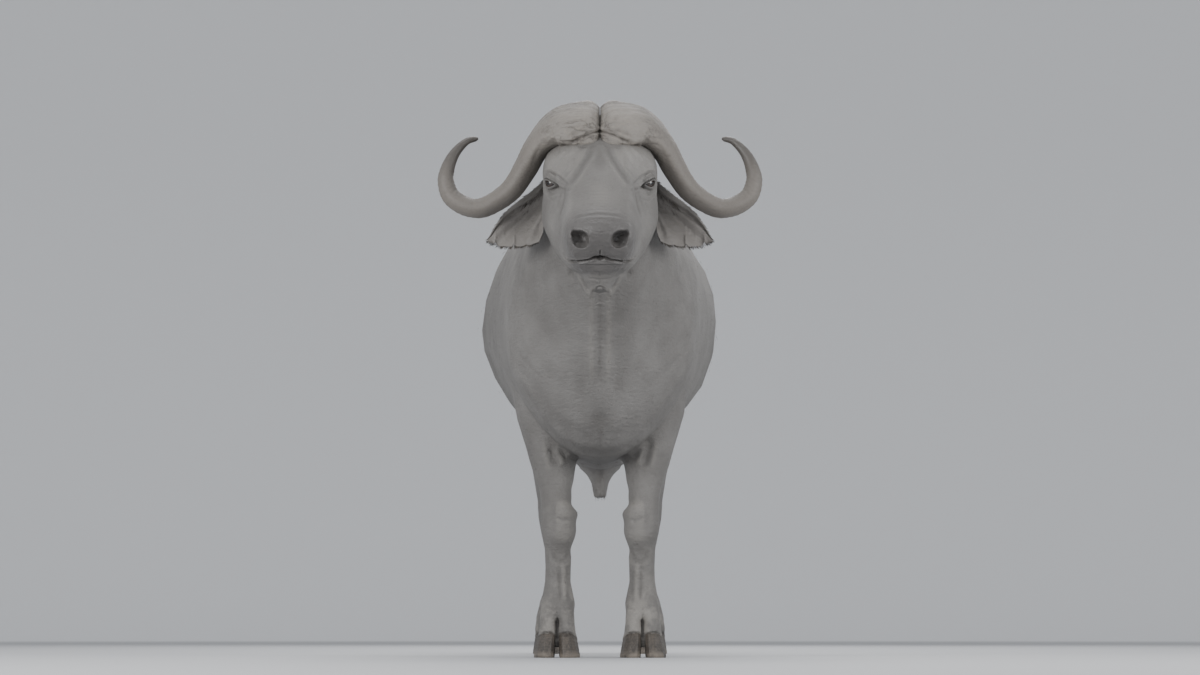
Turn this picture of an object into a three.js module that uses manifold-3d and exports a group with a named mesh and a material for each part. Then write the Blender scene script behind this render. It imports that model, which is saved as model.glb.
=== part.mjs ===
// A life-size African buffalo bull, standing square with its head raised, as a museum model.
// Millimetres. +Z is up, the bull faces -Y, and its left side is at +X. It is alike on both sides.
// The flesh is lofted from named stations, then parted with thin gaps into the pieces a person would name.
import * as THREE from "three";
import { mergeVertices } from "three/addons/utils/BufferGeometryUtils.js";
import Module from "manifold-3d";

const wasm = await Module();
wasm.setup();

// Clearance that touching pieces keep
const GAP = 0.3;
// Half of the slit between the two horn bosses
const BOSS_SLIT = 0.6;

// The head has its own frame: h runs from the poll to the muzzle, n is square to the nose line.
const POLL = { y: -500, z: 1500 };
const NOSE_DROP = THREE.MathUtils.degToRad(39);
const HEAD_AXIS = new THREE.Vector3(0, -Math.cos(NOSE_DROP), -Math.sin(NOSE_DROP));
const HEAD_UP = new THREE.Vector3(0, -Math.sin(NOSE_DROP), Math.cos(NOSE_DROP));

// The eyeballs look outward and ahead; the opening between the lids is measured on the ball, in degrees.
const EYE = { x: 125, h: 252, n: 4, radius: 25, gaze: [0.68, 0.66, 0.3], openAlong: 47, openAcross: 32 };
// The hollow that the lids sit in, cut by a ball ahead of the eye
const SOCKET = { radius: 21, ahead: 23 };
const NOSTRIL = { x: 53, h: 598, n: 22, wide: 24, tall: 21, deep: 52 };

// Neck and trunk, sliced square to Y: back line, belly line, half width, height of the widest place,
// and how full the section is above and below it (2 is an ellipse, less is a keel, more is a box).
const TRUNK = [
  { y: -640, back: 1420, belly: 1168, half: 88, widest: 1300, upper: 2.1, lower: 2.1 },
  { y: -590, back: 1470, belly: 1108, half: 112, widest: 1305, upper: 2.0, lower: 2.0 },
  { y: -530, back: 1530, belly: 1036, half: 136, widest: 1310, upper: 2.0, lower: 1.85 },
  { y: -465, back: 1562, belly: 952, half: 162, widest: 1290, upper: 1.95, lower: 1.75 },
  { y: -400, back: 1556, belly: 862, half: 184, widest: 1240, upper: 1.85, lower: 1.8 },
  { y: -330, back: 1547, belly: 762, half: 210, widest: 1160, upper: 1.75, lower: 1.9 },
  { y: -260, back: 1541, belly: 684, half: 240, widest: 1080, upper: 1.7, lower: 2.0 },
  { y: -180, back: 1540, belly: 628, half: 268, widest: 1040, upper: 1.65, lower: 2.0 },
  { y: -90, back: 1544, belly: 598, half: 288, widest: 1025, upper: 1.65, lower: 1.9 },
  { y: 10, back: 1548, belly: 590, half: 302, widest: 1030, upper: 1.65, lower: 1.8 },
  { y: 120, back: 1543, belly: 592, half: 314, widest: 1045, upper: 1.7, lower: 1.75 },
  { y: 260, back: 1520, belly: 598, half: 332, widest: 1060, upper: 1.8, lower: 1.75 },
  { y: 420, back: 1490, belly: 602, half: 356, widest: 1075, upper: 1.95, lower: 1.75 },
  { y: 600, back: 1464, belly: 604, half: 380, widest: 1085, upper: 2.1, lower: 1.75 },
  { y: 780, back: 1450, belly: 614, half: 390, widest: 1090, upper: 2.2, lower: 1.72 },
  { y: 940, back: 1449, belly: 634, half: 382, widest: 1092, upper: 2.25, lower: 1.75 },
  { y: 1080, back: 1455, belly: 668, half: 352, widest: 1095, upper: 2.25, lower: 1.8 },
  { y: 1200, back: 1460, belly: 716, half: 318, widest: 1105, upper: 2.2, lower: 1.85 },
  { y: 1320, back: 1452, belly: 766, half: 290, widest: 1120, upper: 2.1, lower: 1.9 },
  { y: 1430, back: 1430, belly: 812, half: 264, widest: 1130, upper: 2.0, lower: 1.9 },
  { y: 1520, back: 1396, belly: 858, half: 232, widest: 1132, upper: 1.9, lower: 1.9 },
  { y: 1585, back: 1355, belly: 912, half: 194, widest: 1135, upper: 1.85, lower: 1.9 },
  { y: 1630, back: 1310, belly: 972, half: 150, widest: 1140, upper: 1.85, lower: 1.9 },
  { y: 1658, back: 1262, belly: 1034, half: 98, widest: 1145, upper: 1.85, lower: 1.9 },
  { y: 1670, back: 1218, belly: 1080, half: 48, widest: 1148, upper: 1.9, lower: 1.9 },
];

// Muscle and bone that swell or hollow the trunk: place on the left side, reach along X, Y and Z, and rise.
const TRUNK_RELIEF = [
  { name: "shoulder blade", at: [265, 60, 1230], reach: [200, 110, 210], rise: 20 },
  { name: "point of shoulder", at: [225, -165, 950], reach: [120, 95, 130], rise: 26 },
  { name: "upper arm", at: [285, 150, 930], reach: [120, 120, 120], rise: 14 },
  { name: "hollow behind shoulder", at: [330, 320, 1130], reach: [160, 70, 240], rise: -15 },
  { name: "neck groove", at: [150, -330, 1010], reach: [80, 130, 110], rise: -12 },
  { name: "neck muscle", at: [140, -360, 1260], reach: [90, 160, 90], rise: 12 },
  { name: "hip bone", at: [245, 1170, 1370], reach: [70, 75, 55], rise: 24 },
  { name: "flank hollow", at: [330, 1085, 1255], reach: [140, 100, 90], rise: -24 },
  { name: "loin hollow", at: [120, 1010, 1440], reach: [90, 160, 60], rise: -6 },
  { name: "pin bone", at: [95, 1600, 1270], reach: [60, 55, 55], rise: 16 },
  { name: "brisket", at: [0, -190, 700], reach: [130, 110, 110], rise: 12 },
];

// The head, sliced square to h. brow is the edge of the flat nose and forehead, drop its fall from the top,
// side is the width at the height of the eyes, cheek the width of the cheek bone, low the edge of the jaw.
const HEAD = [
  {
    h: -52, top: 44, brow: 48, drop: 14, side: 80, sideAt: 0,
    cheek: 88, cheekAt: -50, low: 70, lowAt: -96, bottom: -120,
  },
  {
    h: -20, top: 76, brow: 74, drop: 15, side: 112, sideAt: 12,
    cheek: 118, cheekAt: -58, low: 100, lowAt: -120, bottom: -156,
  },
  {
    h: 40, top: 92, brow: 90, drop: 16, side: 138, sideAt: 20,
    cheek: 144, cheekAt: -60, low: 130, lowAt: -140, bottom: -188,
  },
  {
    h: 120, top: 98, brow: 98, drop: 17, side: 153, sideAt: 24,
    cheek: 155, cheekAt: -60, low: 149, lowAt: -154, bottom: -206,
  },
  {
    h: 180, top: 98, brow: 101, drop: 18, side: 160, sideAt: 22,
    cheek: 159, cheekAt: -60, low: 154, lowAt: -162, bottom: -210,
  },
  {
    h: 225, top: 95, brow: 99, drop: 18, side: 157, sideAt: 12,
    cheek: 160, cheekAt: -58, low: 154, lowAt: -164, bottom: -209,
  },
  {
    h: 256, top: 92, brow: 90, drop: 20, side: 139, sideAt: 6,
    cheek: 158, cheekAt: -54, low: 151, lowAt: -162, bottom: -206,
  },
  {
    h: 290, top: 90, brow: 82, drop: 20, side: 120, sideAt: 6,
    cheek: 150, cheekAt: -56, low: 146, lowAt: -160, bottom: -201,
  },
  {
    h: 330, top: 88, brow: 79, drop: 20, side: 107, sideAt: 8,
    cheek: 134, cheekAt: -58, low: 138, lowAt: -156, bottom: -193,
  },
  {
    h: 390, top: 84, brow: 80, drop: 20, side: 104, sideAt: 6,
    cheek: 119, cheekAt: -60, low: 123, lowAt: -148, bottom: -179,
  },
  {
    h: 450, top: 81, brow: 84, drop: 20, side: 107, sideAt: 4,
    cheek: 111, cheekAt: -60, low: 105, lowAt: -138, bottom: -164,
  },
  {
    h: 505, top: 79, brow: 84, drop: 22, side: 105, sideAt: 4,
    cheek: 103, cheekAt: -60, low: 88, lowAt: -126, bottom: -150,
  },
  {
    h: 550, top: 77, brow: 78, drop: 26, side: 97, sideAt: 6,
    cheek: 92, cheekAt: -56, low: 76, lowAt: -110, bottom: -136,
  },
  {
    h: 580, top: 69, brow: 67, drop: 26, side: 87, sideAt: 6,
    cheek: 79, cheekAt: -54, low: 62, lowAt: -92, bottom: -119,
  },
  {
    h: 597, top: 54, brow: 53, drop: 22, side: 71, sideAt: 6,
    cheek: 62, cheekAt: -48, low: 48, lowAt: -76, bottom: -100,
  },
  {
    h: 604, top: 32, brow: 34, drop: 15, side: 47, sideAt: 4,
    cheek: 40, cheekAt: -38, low: 30, lowAt: -58, bottom: -77,
  },
];

// The same kind of relief on the head, in its own frame: x, h, n.
const HEAD_RELIEF = [
  { name: "brow ridge", at: [136, 232, 40], reach: [44, 52, 22], rise: 10 },
  { name: "rim below the eye", at: [140, 268, -34], reach: [34, 40, 16], rise: 5 },
  { name: "hollow before the eye", at: [104, 322, 6], reach: [40, 34, 30], rise: -9 },
  { name: "cheek muscle", at: [150, 190, -110], reach: [70, 80, 60], rise: 4 },
  { name: "lip hollow", at: [100, 480, -78], reach: [40, 44, 18], rise: -5 },
  { name: "nostril wing", at: [76, 580, 24], reach: [24, 26, 26], rise: 7 },
  { name: "groove between forehead and temple", at: [112, 150, 74], reach: [30, 90, 24], rise: -4 },
  { name: "upper lip", at: [62, 588, -34], reach: [40, 26, 12], rise: 4 },
];

// The mouth, in the head's frame: it slopes back from the lips, then a thin cut parts jaw and cheek.
const MOUTH = {
  line: [
    [640, -30],
    [604, -42],
    [580, -56],
    [556, -70],
    [538, -78],
    [330, -128],
    [230, -160],
    [150, -250],
  ],
  slit: [4, 4, 3, 2, GAP, GAP, GAP, GAP],
  // The small gap under the middle of the upper lip
  philtrum: { h: 606, n: -38, wide: 15, tall: 11, deep: 34 },
};

// A limb, sliced level: outer and inner side, front and back, and fullness.
const FORELEG = [
  { z: 940, outer: 232, inner: 110, front: -50, back: 190, full: 2.0 },
  { z: 865, outer: 266, inner: 84, front: -76, back: 220, full: 2.1 },
  { z: 800, outer: 271, inner: 70, front: -74, back: 222, full: 2.1 },
  { z: 740, outer: 259, inner: 66, front: -66, back: 200, full: 2.2 },
  { z: 680, outer: 240, inner: 66, front: -58, back: 168, full: 2.2 },
  { z: 620, outer: 222, inner: 68, front: -50, back: 138, full: 2.2 },
  { z: 560, outer: 205, inner: 76, front: -44, back: 116, full: 2.2 },
  { z: 510, outer: 187, inner: 87, front: -42, back: 102, full: 2.3 },
  { z: 470, outer: 181, inner: 86, front: -48, back: 92, full: 2.5 },
  { z: 438, outer: 180, inner: 73, front: -54, back: 92, full: 2.6 },
  { z: 400, outer: 181, inner: 75, front: -55, back: 76, full: 2.6 },
  { z: 366, outer: 176, inner: 78, front: -48, back: 62, full: 2.5 },
  { z: 335, outer: 169, inner: 85, front: -34, back: 56, full: 2.3 },
  { z: 290, outer: 166, inner: 88, front: -28, back: 54, full: 2.2 },
  { z: 230, outer: 168, inner: 89, front: -27, back: 56, full: 2.2 },
  { z: 195, outer: 174, inner: 82, front: -33, back: 64, full: 2.3 },
  { z: 166, outer: 178, inner: 78, front: -42, back: 70, full: 2.4 },
  { z: 142, outer: 178, inner: 79, front: -48, back: 66, full: 2.4 },
  { z: 118, outer: 172, inner: 86, front: -50, back: 52, full: 2.4 },
];
const HIND_LEG = [
  { z: 1300, outer: 180, inner: 110, front: 1270, back: 1500, full: 2.0 },
  { z: 1215, outer: 236, inner: 90, front: 1170, back: 1580, full: 2.0 },
  { z: 1130, outer: 280, inner: 70, front: 1086, back: 1632, full: 2.1 },
  { z: 1050, outer: 298, inner: 52, front: 1028, back: 1652, full: 2.1 },
  { z: 970, outer: 301, inner: 46, front: 992, back: 1648, full: 2.1 },
  { z: 890, outer: 295, inner: 46, front: 978, back: 1618, full: 2.1 },
  { z: 820, outer: 283, inner: 62, front: 990, back: 1566, full: 2.1 },
  { z: 750, outer: 266, inner: 84, front: 1034, back: 1520, full: 2.1 },
  { z: 690, outer: 250, inner: 98, front: 1104, back: 1506, full: 2.1 },
  { z: 635, outer: 237, inner: 106, front: 1190, back: 1526, full: 2.1 },
  { z: 590, outer: 228, inner: 113, front: 1278, back: 1570, full: 2.1 },
  { z: 552, outer: 223, inner: 117, front: 1344, back: 1600, full: 2.2 },
  { z: 515, outer: 222, inner: 116, front: 1378, back: 1594, full: 2.3 },
  { z: 478, outer: 219, inner: 117, front: 1396, back: 1566, full: 2.4 },
  { z: 430, outer: 210, inner: 122, front: 1408, back: 1542, full: 2.4 },
  { z: 370, outer: 197, inner: 126, front: 1420, back: 1528, full: 2.3 },
  { z: 290, outer: 194, inner: 128, front: 1428, back: 1522, full: 2.2 },
  { z: 225, outer: 198, inner: 126, front: 1426, back: 1526, full: 2.2 },
  { z: 190, outer: 212, inner: 120, front: 1416, back: 1536, full: 2.3 },
  { z: 164, outer: 218, inner: 116, front: 1408, back: 1542, full: 2.4 },
  { z: 140, outer: 218, inner: 117, front: 1400, back: 1538, full: 2.4 },
  { z: 116, outer: 212, inner: 128, front: 1396, back: 1522, full: 2.4 },
];
// Where each limb is parted, at the knee or hock and at the fetlock
const FORELEG_JOINTS = [474, 205];
const HIND_LEG_JOINTS = [570, 205];

// One foot: its middle, the spread and size of its two claws, and its toe's place.
const FORE_FOOT = { x: 130, splay: 36, width: 68, toe: -98, heel: 44, coronet: 78, dewclaw: 60 };
const HIND_FOOT = { x: 178, splay: 30, width: 57, toe: 1334, heel: 1478, coronet: 84, dewclaw: 1528 };

// The horn's own line with its thickness seen from the front and its depth from front to back
const HORN = [
  { at: [-30, -604, 1518], thick: 56, deep: 216 },
  { at: [0, -604, 1526], thick: 84, deep: 236 },
  { at: [12, -604, 1529], thick: 106, deep: 252 },
  { at: [26, -604, 1531], thick: 118, deep: 260 },
  { at: [58, -604, 1534], thick: 126, deep: 262 },
  { at: [122, -600, 1516], thick: 106, deep: 226 },
  { at: [182, -592, 1462], thick: 76, deep: 164 },
  { at: [214, -584, 1404], thick: 69, deep: 124 },
  { at: [264, -572, 1335], thick: 61, deep: 98 },
  { at: [352, -560, 1291], thick: 56, deep: 82 },
  { at: [425, -552, 1322], thick: 53, deep: 70 },
  { at: [445, -547, 1374], thick: 47, deep: 58 },
  { at: [438, -540, 1418], thick: 39, deep: 46 },
  { at: [417, -532, 1461], thick: 29, deep: 34 },
  { at: [384, -524, 1494], thick: 20, deep: 22 },
  { at: [360, -519, 1501], thick: 14, deep: 15 },
  { at: [354, -518, 1502], thick: 7, deep: 8 },
];

// The ear: a broad cup that opens forward, set out by x from its root, with the heights of its upper and
// lower edges. Its middle runs back from the root's y to the tip's.
const EAR = {
  rootY: -536,
  tipY: -440,
  thickness: 7,
  cup: 34,
  // How much of the height lies above the cup's deepest line
  upperShare: 0.3,
  blade: [
    { x: 128, top: 1385, bottom: 1330 },
    { x: 152, top: 1386, bottom: 1304 },
    { x: 159, top: 1384, bottom: 1280 },
    { x: 165, top: 1379, bottom: 1224 },
    { x: 176, top: 1368, bottom: 1200 },
    { x: 200, top: 1349, bottom: 1192 },
    { x: 228, top: 1330, bottom: 1189 },
    { x: 256, top: 1311, bottom: 1191 },
    { x: 280, top: 1291, bottom: 1194 },
    { x: 302, top: 1262, bottom: 1200 },
    { x: 320, top: 1230, bottom: 1206 },
    { x: 329, top: 1217, bottom: 1211 },
  ],
  // Bites out of the ragged lower edge
  notches: [{ x: 232, width: 6, bite: 11 }, { x: 287, width: 6, bite: 10 }],
};

// The sheath that hangs under the belly, sliced level
const SHEATH = [
  { z: 680, half: 86, front: 700, back: 1010 },
  { z: 625, half: 70, front: 745, back: 985 },
  { z: 600, half: 44, front: 778, back: 940 },
  { z: 575, half: 30, front: 796, back: 905 },
  { z: 548, half: 24, front: 806, back: 880 },
  { z: 524, half: 20, front: 814, back: 868 },
];

// The tail: a tapering dock that hangs behind the rump, and a tassel of locks
const TAIL = [
  { at: [0, 1520, 1352], radius: 36 },
  { at: [0, 1604, 1322], radius: 34 },
  { at: [0, 1658, 1262], radius: 29 },
  { at: [0, 1680, 1180], radius: 23 },
  { at: [0, 1686, 1070], radius: 18 },
  { at: [0, 1688, 960], radius: 15 },
  { at: [0, 1690, 862], radius: 13 },
];
const TASSEL = { top: 858, tip: 578, locks: 11, y: 1690, spread: 26, lockWidth: 22 };

// The short, blunt beard under the chin: level slices, and the locks at its end
const BEARD = {
  core: [
    { z: 1130, half: 44, front: -878, back: -790 },
    { z: 1088, half: 66, front: -893, back: -782 },
    { z: 1062, half: 54, front: -890, back: -780 },
    { z: 1040, half: 38, front: -878, back: -784 },
    { z: 1020, half: 27, front: -866, back: -794 },
  ],
  locks: 7,
  lockWidth: 15,
  tip: 1006,
};

const COLOURS = {
  hide: { color: 0x4a4743, roughness: 0.85, metalness: 0 },
  horn: { color: 0x6b665c, roughness: 0.6, metalness: 0 },
  hoof: { color: 0x35322f, roughness: 0.55, metalness: 0 },
  eye: { color: 0x120c08, roughness: 0.08, metalness: 0 },
  hair: { color: 0x24211f, roughness: 0.8, metalness: 0 },
};

// A smooth curve through stations that never overshoots them
function profile(stations, along, key) {
  const x = stations.map((s) => s[along]);
  const v = stations.map((s) => s[key]);
  const slope = v.slice(1).map((b, i) => (b - v[i]) / (x[i + 1] - x[i]));
  const tangent = v.map((_, i) => {
    const before = slope[Math.max(0, i - 1)];
    const after = slope[Math.min(slope.length - 1, i)];
    return before * after <= 0 ? 0 : (2 * before * after) / (before + after);
  });
  const rising = x[1] > x[0];
  return (at) => {
    let i = 0;
    while (i < x.length - 2 && (rising ? at > x[i + 1] : at < x[i + 1])) i++;
    const span = x[i + 1] - x[i];
    const t = THREE.MathUtils.clamp((at - x[i]) / span, 0, 1);
    return (
      v[i] * (1 + 2 * t) * (1 - t) ** 2 +
      tangent[i] * span * t * (1 - t) ** 2 +
      v[i + 1] * t * t * (3 - 2 * t) +
      tangent[i + 1] * span * t * t * (t - 1)
    );
  };
}

// All the profiles of a table of stations, as functions of the driving coordinate
function profiles(stations, along) {
  const keys = Object.keys(stations[0]).filter((k) => k !== along);
  return Object.fromEntries(keys.map((k) => [k, profile(stations, along, k)]));
}

// Slices at the stations themselves, with more between any two that are further apart than step
function slices(stations, along, step) {
  const made = [stations[0][along]];
  for (let i = 1; i < stations.length; i++) {
    const from = stations[i - 1][along];
    const to = stations[i][along];
    const count = Math.max(1, Math.round(Math.abs(to - from) / step));
    for (let k = 1; k <= count; k++) made.push(from + ((to - from) * k) / count);
  }
  return made;
}

function signedPower(value, power) {
  return Math.sign(value) * Math.abs(value) ** power;
}

// The height of a sum of soft mounds at a point, the same on both sides
function reliefAt(mounds, point) {
  let sum = 0;
  for (const m of mounds) {
    const a = (Math.abs(point[0]) - m.at[0]) / m.reach[0];
    const b = (point[1] - m.at[1]) / m.reach[1];
    const c = (point[2] - m.at[2]) / m.reach[2];
    sum += m.rise * Math.exp(-(a * a + b * b + c * c));
  }
  return sum;
}

// Joins rings of points into one closed skin, with a fan at each end
function skin(rings) {
  const count = rings[0].length;
  const points = rings.flat();
  const centre = (ring) =>
    ring.reduce((sum, p) => sum.add(p), new THREE.Vector3()).divideScalar(ring.length);
  const start = points.length;
  points.push(centre(rings[0]), centre(rings[rings.length - 1]));
  const faces = [];
  for (let r = 0; r + 1 < rings.length; r++)
    for (let i = 0; i < count; i++) {
      const a = r * count + i;
      const b = r * count + ((i + 1) % count);
      faces.push(a, b, b + count, a, b + count, a + count);
    }
  const last = (rings.length - 1) * count;
  for (let i = 0; i < count; i++) {
    const next = (i + 1) % count;
    faces.push(start, next, i);
    faces.push(start + 1, last + i, last + next);
  }
  return geometryOf(points, faces);
}

function geometryOf(points, faces) {
  const geometry = new THREE.BufferGeometry();
  const flat = points.flatMap((p) => [p.x, p.y, p.z]);
  geometry.setAttribute("position", new THREE.Float32BufferAttribute(flat, 3));
  geometry.setIndex(faces);
  return geometry;
}

// A closed geometry as a solid for joining and cutting, turned right side out
function solidOf(geometry) {
  const bare = geometry.clone();
  bare.deleteAttribute("normal");
  bare.deleteAttribute("uv");
  const merged = mergeVertices(bare, 1e-3);
  const vertProperties = merged.attributes.position.array;
  const triVerts = new Uint32Array(merged.index.array);
  let made = new wasm.Manifold(new wasm.Mesh({ numProp: 3, vertProperties, triVerts }));
  if (made.volume() < 0) {
    for (let i = 0; i < triVerts.length; i += 3)
      [triVerts[i + 1], triVerts[i + 2]] = [triVerts[i + 2], triVerts[i + 1]];
    made = new wasm.Manifold(new wasm.Mesh({ numProp: 3, vertProperties, triVerts }));
  }
  return made;
}

function geometryOfSolid(solid) {
  const mesh = solid.getMesh();
  const geometry = new THREE.BufferGeometry();
  const flat = new Float32Array(mesh.numVert * 3);
  for (let i = 0; i < mesh.numVert; i++)
    for (let k = 0; k < 3; k++) flat[i * 3 + k] = mesh.vertProperties[i * mesh.numProp + k];
  geometry.setAttribute("position", new THREE.BufferAttribute(flat, 3));
  geometry.setIndex(new THREE.BufferAttribute(new Uint32Array(mesh.triVerts), 1));
  geometry.computeVertexNormals();
  return geometry;
}

// The largest closed piece of a solid
function largest(solid) {
  return solid.decompose().reduce((a, b) => (a.volume() >= b.volume() ? a : b));
}

// Moves each point of a ring outward by a distance of its own; facing is square to the ring, with the ring
// running anticlockwise when seen from where facing points.
function swell(ring, facing, distance) {
  const count = ring.length;
  return ring.map((p, i) => {
    const along = ring[(i + 1) % count].clone().sub(ring[(i + count - 1) % count]);
    const outward = along.cross(facing).normalize();
    return p.clone().addScaledVector(outward, distance(p));
  });
}

// A point of the head's frame in the world
function headPoint(x, h, n) {
  return new THREE.Vector3(x, POLL.y, POLL.z).addScaledVector(HEAD_AXIS, h).addScaledVector(HEAD_UP, n);
}

// Neck and trunk as one smooth form
function trunkSolid(grow = 0) {
  const shape = profiles(TRUNK, "y");
  const around = 28;
  const facing = new THREE.Vector3(0, -1, 0);
  const rings = slices(TRUNK, "y", 150).map((y) => {
    const [back, belly, half, widest] = ["back", "belly", "half", "widest"].map((k) => shape[k](y));
    const ring = [];
    for (let i = 0; i < around; i++) {
      const turn = (i / around) * 2 * Math.PI;
      const rise = Math.sin(turn);
      const full = rise >= 0 ? shape.upper(y) : shape.lower(y);
      const height = rise >= 0 ? back - widest : widest - belly;
      const x = half * signedPower(Math.cos(turn), 2 / full);
      ring.push(new THREE.Vector3(x, y, widest + height * signedPower(rise, 2 / full)));
    }
    return swell(ring, facing, (p) => grow + reliefAt(TRUNK_RELIEF, [p.x, p.y, p.z]));
  });
  return solidOf(skin(rings));
}

// The head with its flat nose, brows and jaw; grow makes the same form larger, to cut a seat for it
function headSolid(grow = 0) {
  const shape = profiles(HEAD, "h");
  const between = 3;
  const tiltFrom = 470;
  const lipSetBack = 0.14;
  const rings = slices(HEAD, "h", 48).map((h) => {
    const at = Object.fromEntries(Object.keys(shape).map((k) => [k, shape[k](h)]));
    const side = [
      [0, at.top],
      [at.brow, at.top - at.drop],
      [at.side, at.sideAt],
      [at.cheek, at.cheekAt],
      [at.low, at.lowAt],
    ];
    const outline = [
      ...side,
      [0, at.bottom],
      ...side.slice(1).reverse().map(([x, n]) => [-x, n]),
    ];
    const curve = new THREE.CatmullRomCurve3(
      outline.map(([x, n]) => new THREE.Vector3(x, n, 0)),
      true,
      "centripetal",
    );
    const ring = [];
    for (let i = 0; i < outline.length * between; i++) {
      const p = curve.getPoint(i / (outline.length * between));
      const tilt = lipSetBack * THREE.MathUtils.smoothstep(h, tiltFrom, HEAD[HEAD.length - 1].h);
      ring.push(headPoint(p.x, h + tilt * p.y, p.y));
    }
    return swell(ring, HEAD_AXIS.clone().negate(), (p) => {
      const from = p.clone().sub(new THREE.Vector3(0, POLL.y, POLL.z));
      return grow + reliefAt(HEAD_RELIEF, [p.x, from.dot(HEAD_AXIS), from.dot(HEAD_UP)]);
    });
  });
  if (grow) {
    const ends = [rings[0], rings[rings.length - 1]];
    ends.forEach((ring, i) => ring.forEach((p) => p.addScaledVector(HEAD_AXIS, i ? grow : -grow)));
  }
  return solidOf(skin(rings));
}

// A station of an upright form on the middle line, made from its half width
function middleStation({ z, half, front, back }) {
  return { z, outer: half, inner: -half, front, back, full: 2 };
}

// A limb from its level slices; side is 1 for the left and -1 for the right
function limbSolid(stations, side, grow = 0, step = 90, around = 14) {
  const shape = profiles(stations, "z");
  const levels = slices(stations, "z", step);
  const rings = levels.map((z, level) => {
    const [outer, inner, front, back, full] = ["outer", "inner", "front", "back", "full"].map((k) =>
      shape[k](z),
    );
    const end = level === 0 ? grow : level === levels.length - 1 ? -grow : 0;
    const ring = [];
    for (let i = 0; i < around; i++) {
      const turn = (i / around) * 2 * Math.PI;
      const x = (outer + inner) / 2 + ((outer - inner) / 2 + grow) * signedPower(Math.cos(turn), 2 / full);
      const y = (front + back) / 2 + ((back - front) / 2 + grow) * signedPower(Math.sin(turn), 2 / full);
      ring.push(new THREE.Vector3(side * x, y, z + end));
    }
    return ring;
  });
  return solidOf(skin(rings));
}

// A tube or blade along a line of stations, with an oval section in the frame that across gives
function tubeSolid(stations, { across, along = 3, around = 14, grow = 0 }) {
  const curve = new THREE.CatmullRomCurve3(
    stations.map((s) => new THREE.Vector3(...s.at)),
    false,
    "centripetal",
  );
  const count = Math.round((stations.length - 1) * along);
  const sizes = (key) => profile(stations.map((s, i) => ({ i, v: s[key] })), "i", "v");
  const thick = sizes("thick");
  const deep = sizes("deep");
  const rings = [];
  for (let k = 0; k <= count; k++) {
    const t = k / count;
    const station = t * (stations.length - 1);
    const tangent = curve.getTangent(t);
    const deepWay = across(t).addScaledVector(tangent, -across(t).dot(tangent)).normalize();
    const thickWay = tangent.clone().cross(deepWay);
    const end = k === 0 ? -grow : k === count ? grow : 0;
    const centre = curve.getPoint(t).addScaledVector(tangent, end);
    const ring = [];
    for (let i = 0; i < around; i++) {
      const turn = (i / around) * 2 * Math.PI;
      ring.push(
        centre
          .clone()
          .addScaledVector(thickWay, (thick(station) / 2 + grow) * Math.cos(turn))
          .addScaledVector(deepWay, (deep(station) / 2 + grow) * Math.sin(turn)),
      );
    }
    rings.push(ring);
  }
  return solidOf(skin(rings));
}

// A round tube: the same, with one radius for both ways
function roundTube(stations, options = {}) {
  const oval = stations.map((s) => ({ at: s.at, thick: 2 * s.radius, deep: 2 * s.radius }));
  return tubeSolid(oval, { across: () => new THREE.Vector3(1, 0, 0), ...options });
}

// The horn: its section lies along the head at the boss and turns square to the view further out
function hornSolid(side, grow = 0) {
  const towardBack = new THREE.Vector3(0, 1, 0);
  const stations = HORN.map((s) => ({ ...s, at: [s.at[0] * side, s.at[1], s.at[2]] }));
  return tubeSolid(stations, {
    across: (t) => HEAD_AXIS.clone().negate().lerp(towardBack, THREE.MathUtils.smoothstep(t, 0.2, 0.45)),
    along: 1.75,
    around: 16,
    grow,
  }).intersect(slab([side * (500 + BOSS_SLIT - grow), -550, 1450], [1000, 600, 600]));
}

// The ear: a front sheet and a back sheet, cupped and joined round the edge
function earSolid(side) {
  const height = profiles(EAR.blade, "x");
  const crosswise = 7;
  const first = EAR.blade[0].x;
  const reach = EAR.blade[EAR.blade.length - 1].x - first;
  const rings = slices(EAR.blade, "x", 13).map((x) => {
    const u = (x - first) / reach;
    const bite = EAR.notches.reduce((sum, n) => sum + n.bite * Math.exp(-(((x - n.x) / n.width) ** 2)), 0);
    const top = height.top(x);
    const bottom = height.bottom(x) + bite;
    const middle = top - EAR.upperShare * (top - bottom);
    const hollow = EAR.cup * Math.sin(Math.PI * Math.min(1, 0.15 + u * 0.8)) ** 0.8;
    const half = (EAR.thickness / 2) * (1.5 - 0.8 * u);
    const sheet = (offset) =>
      Array.from({ length: crosswise + 1 }, (_, j) => {
        const v = -1 + (2 * j) / crosswise;
        const z = v >= 0 ? middle + v * (top - middle) : middle + v * (middle - bottom);
        const roll = 12 * Math.max(0, v) ** 3 * Math.sin(Math.PI * u);
        const forward = hollow * (v * v - 1) + roll + offset;
        return new THREE.Vector3(side * x, EAR.rootY + u * (EAR.tipY - EAR.rootY) - forward, z);
      });
    return [...sheet(half), ...sheet(-half).reverse()];
  });
  return solidOf(skin(rings));
}

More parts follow.
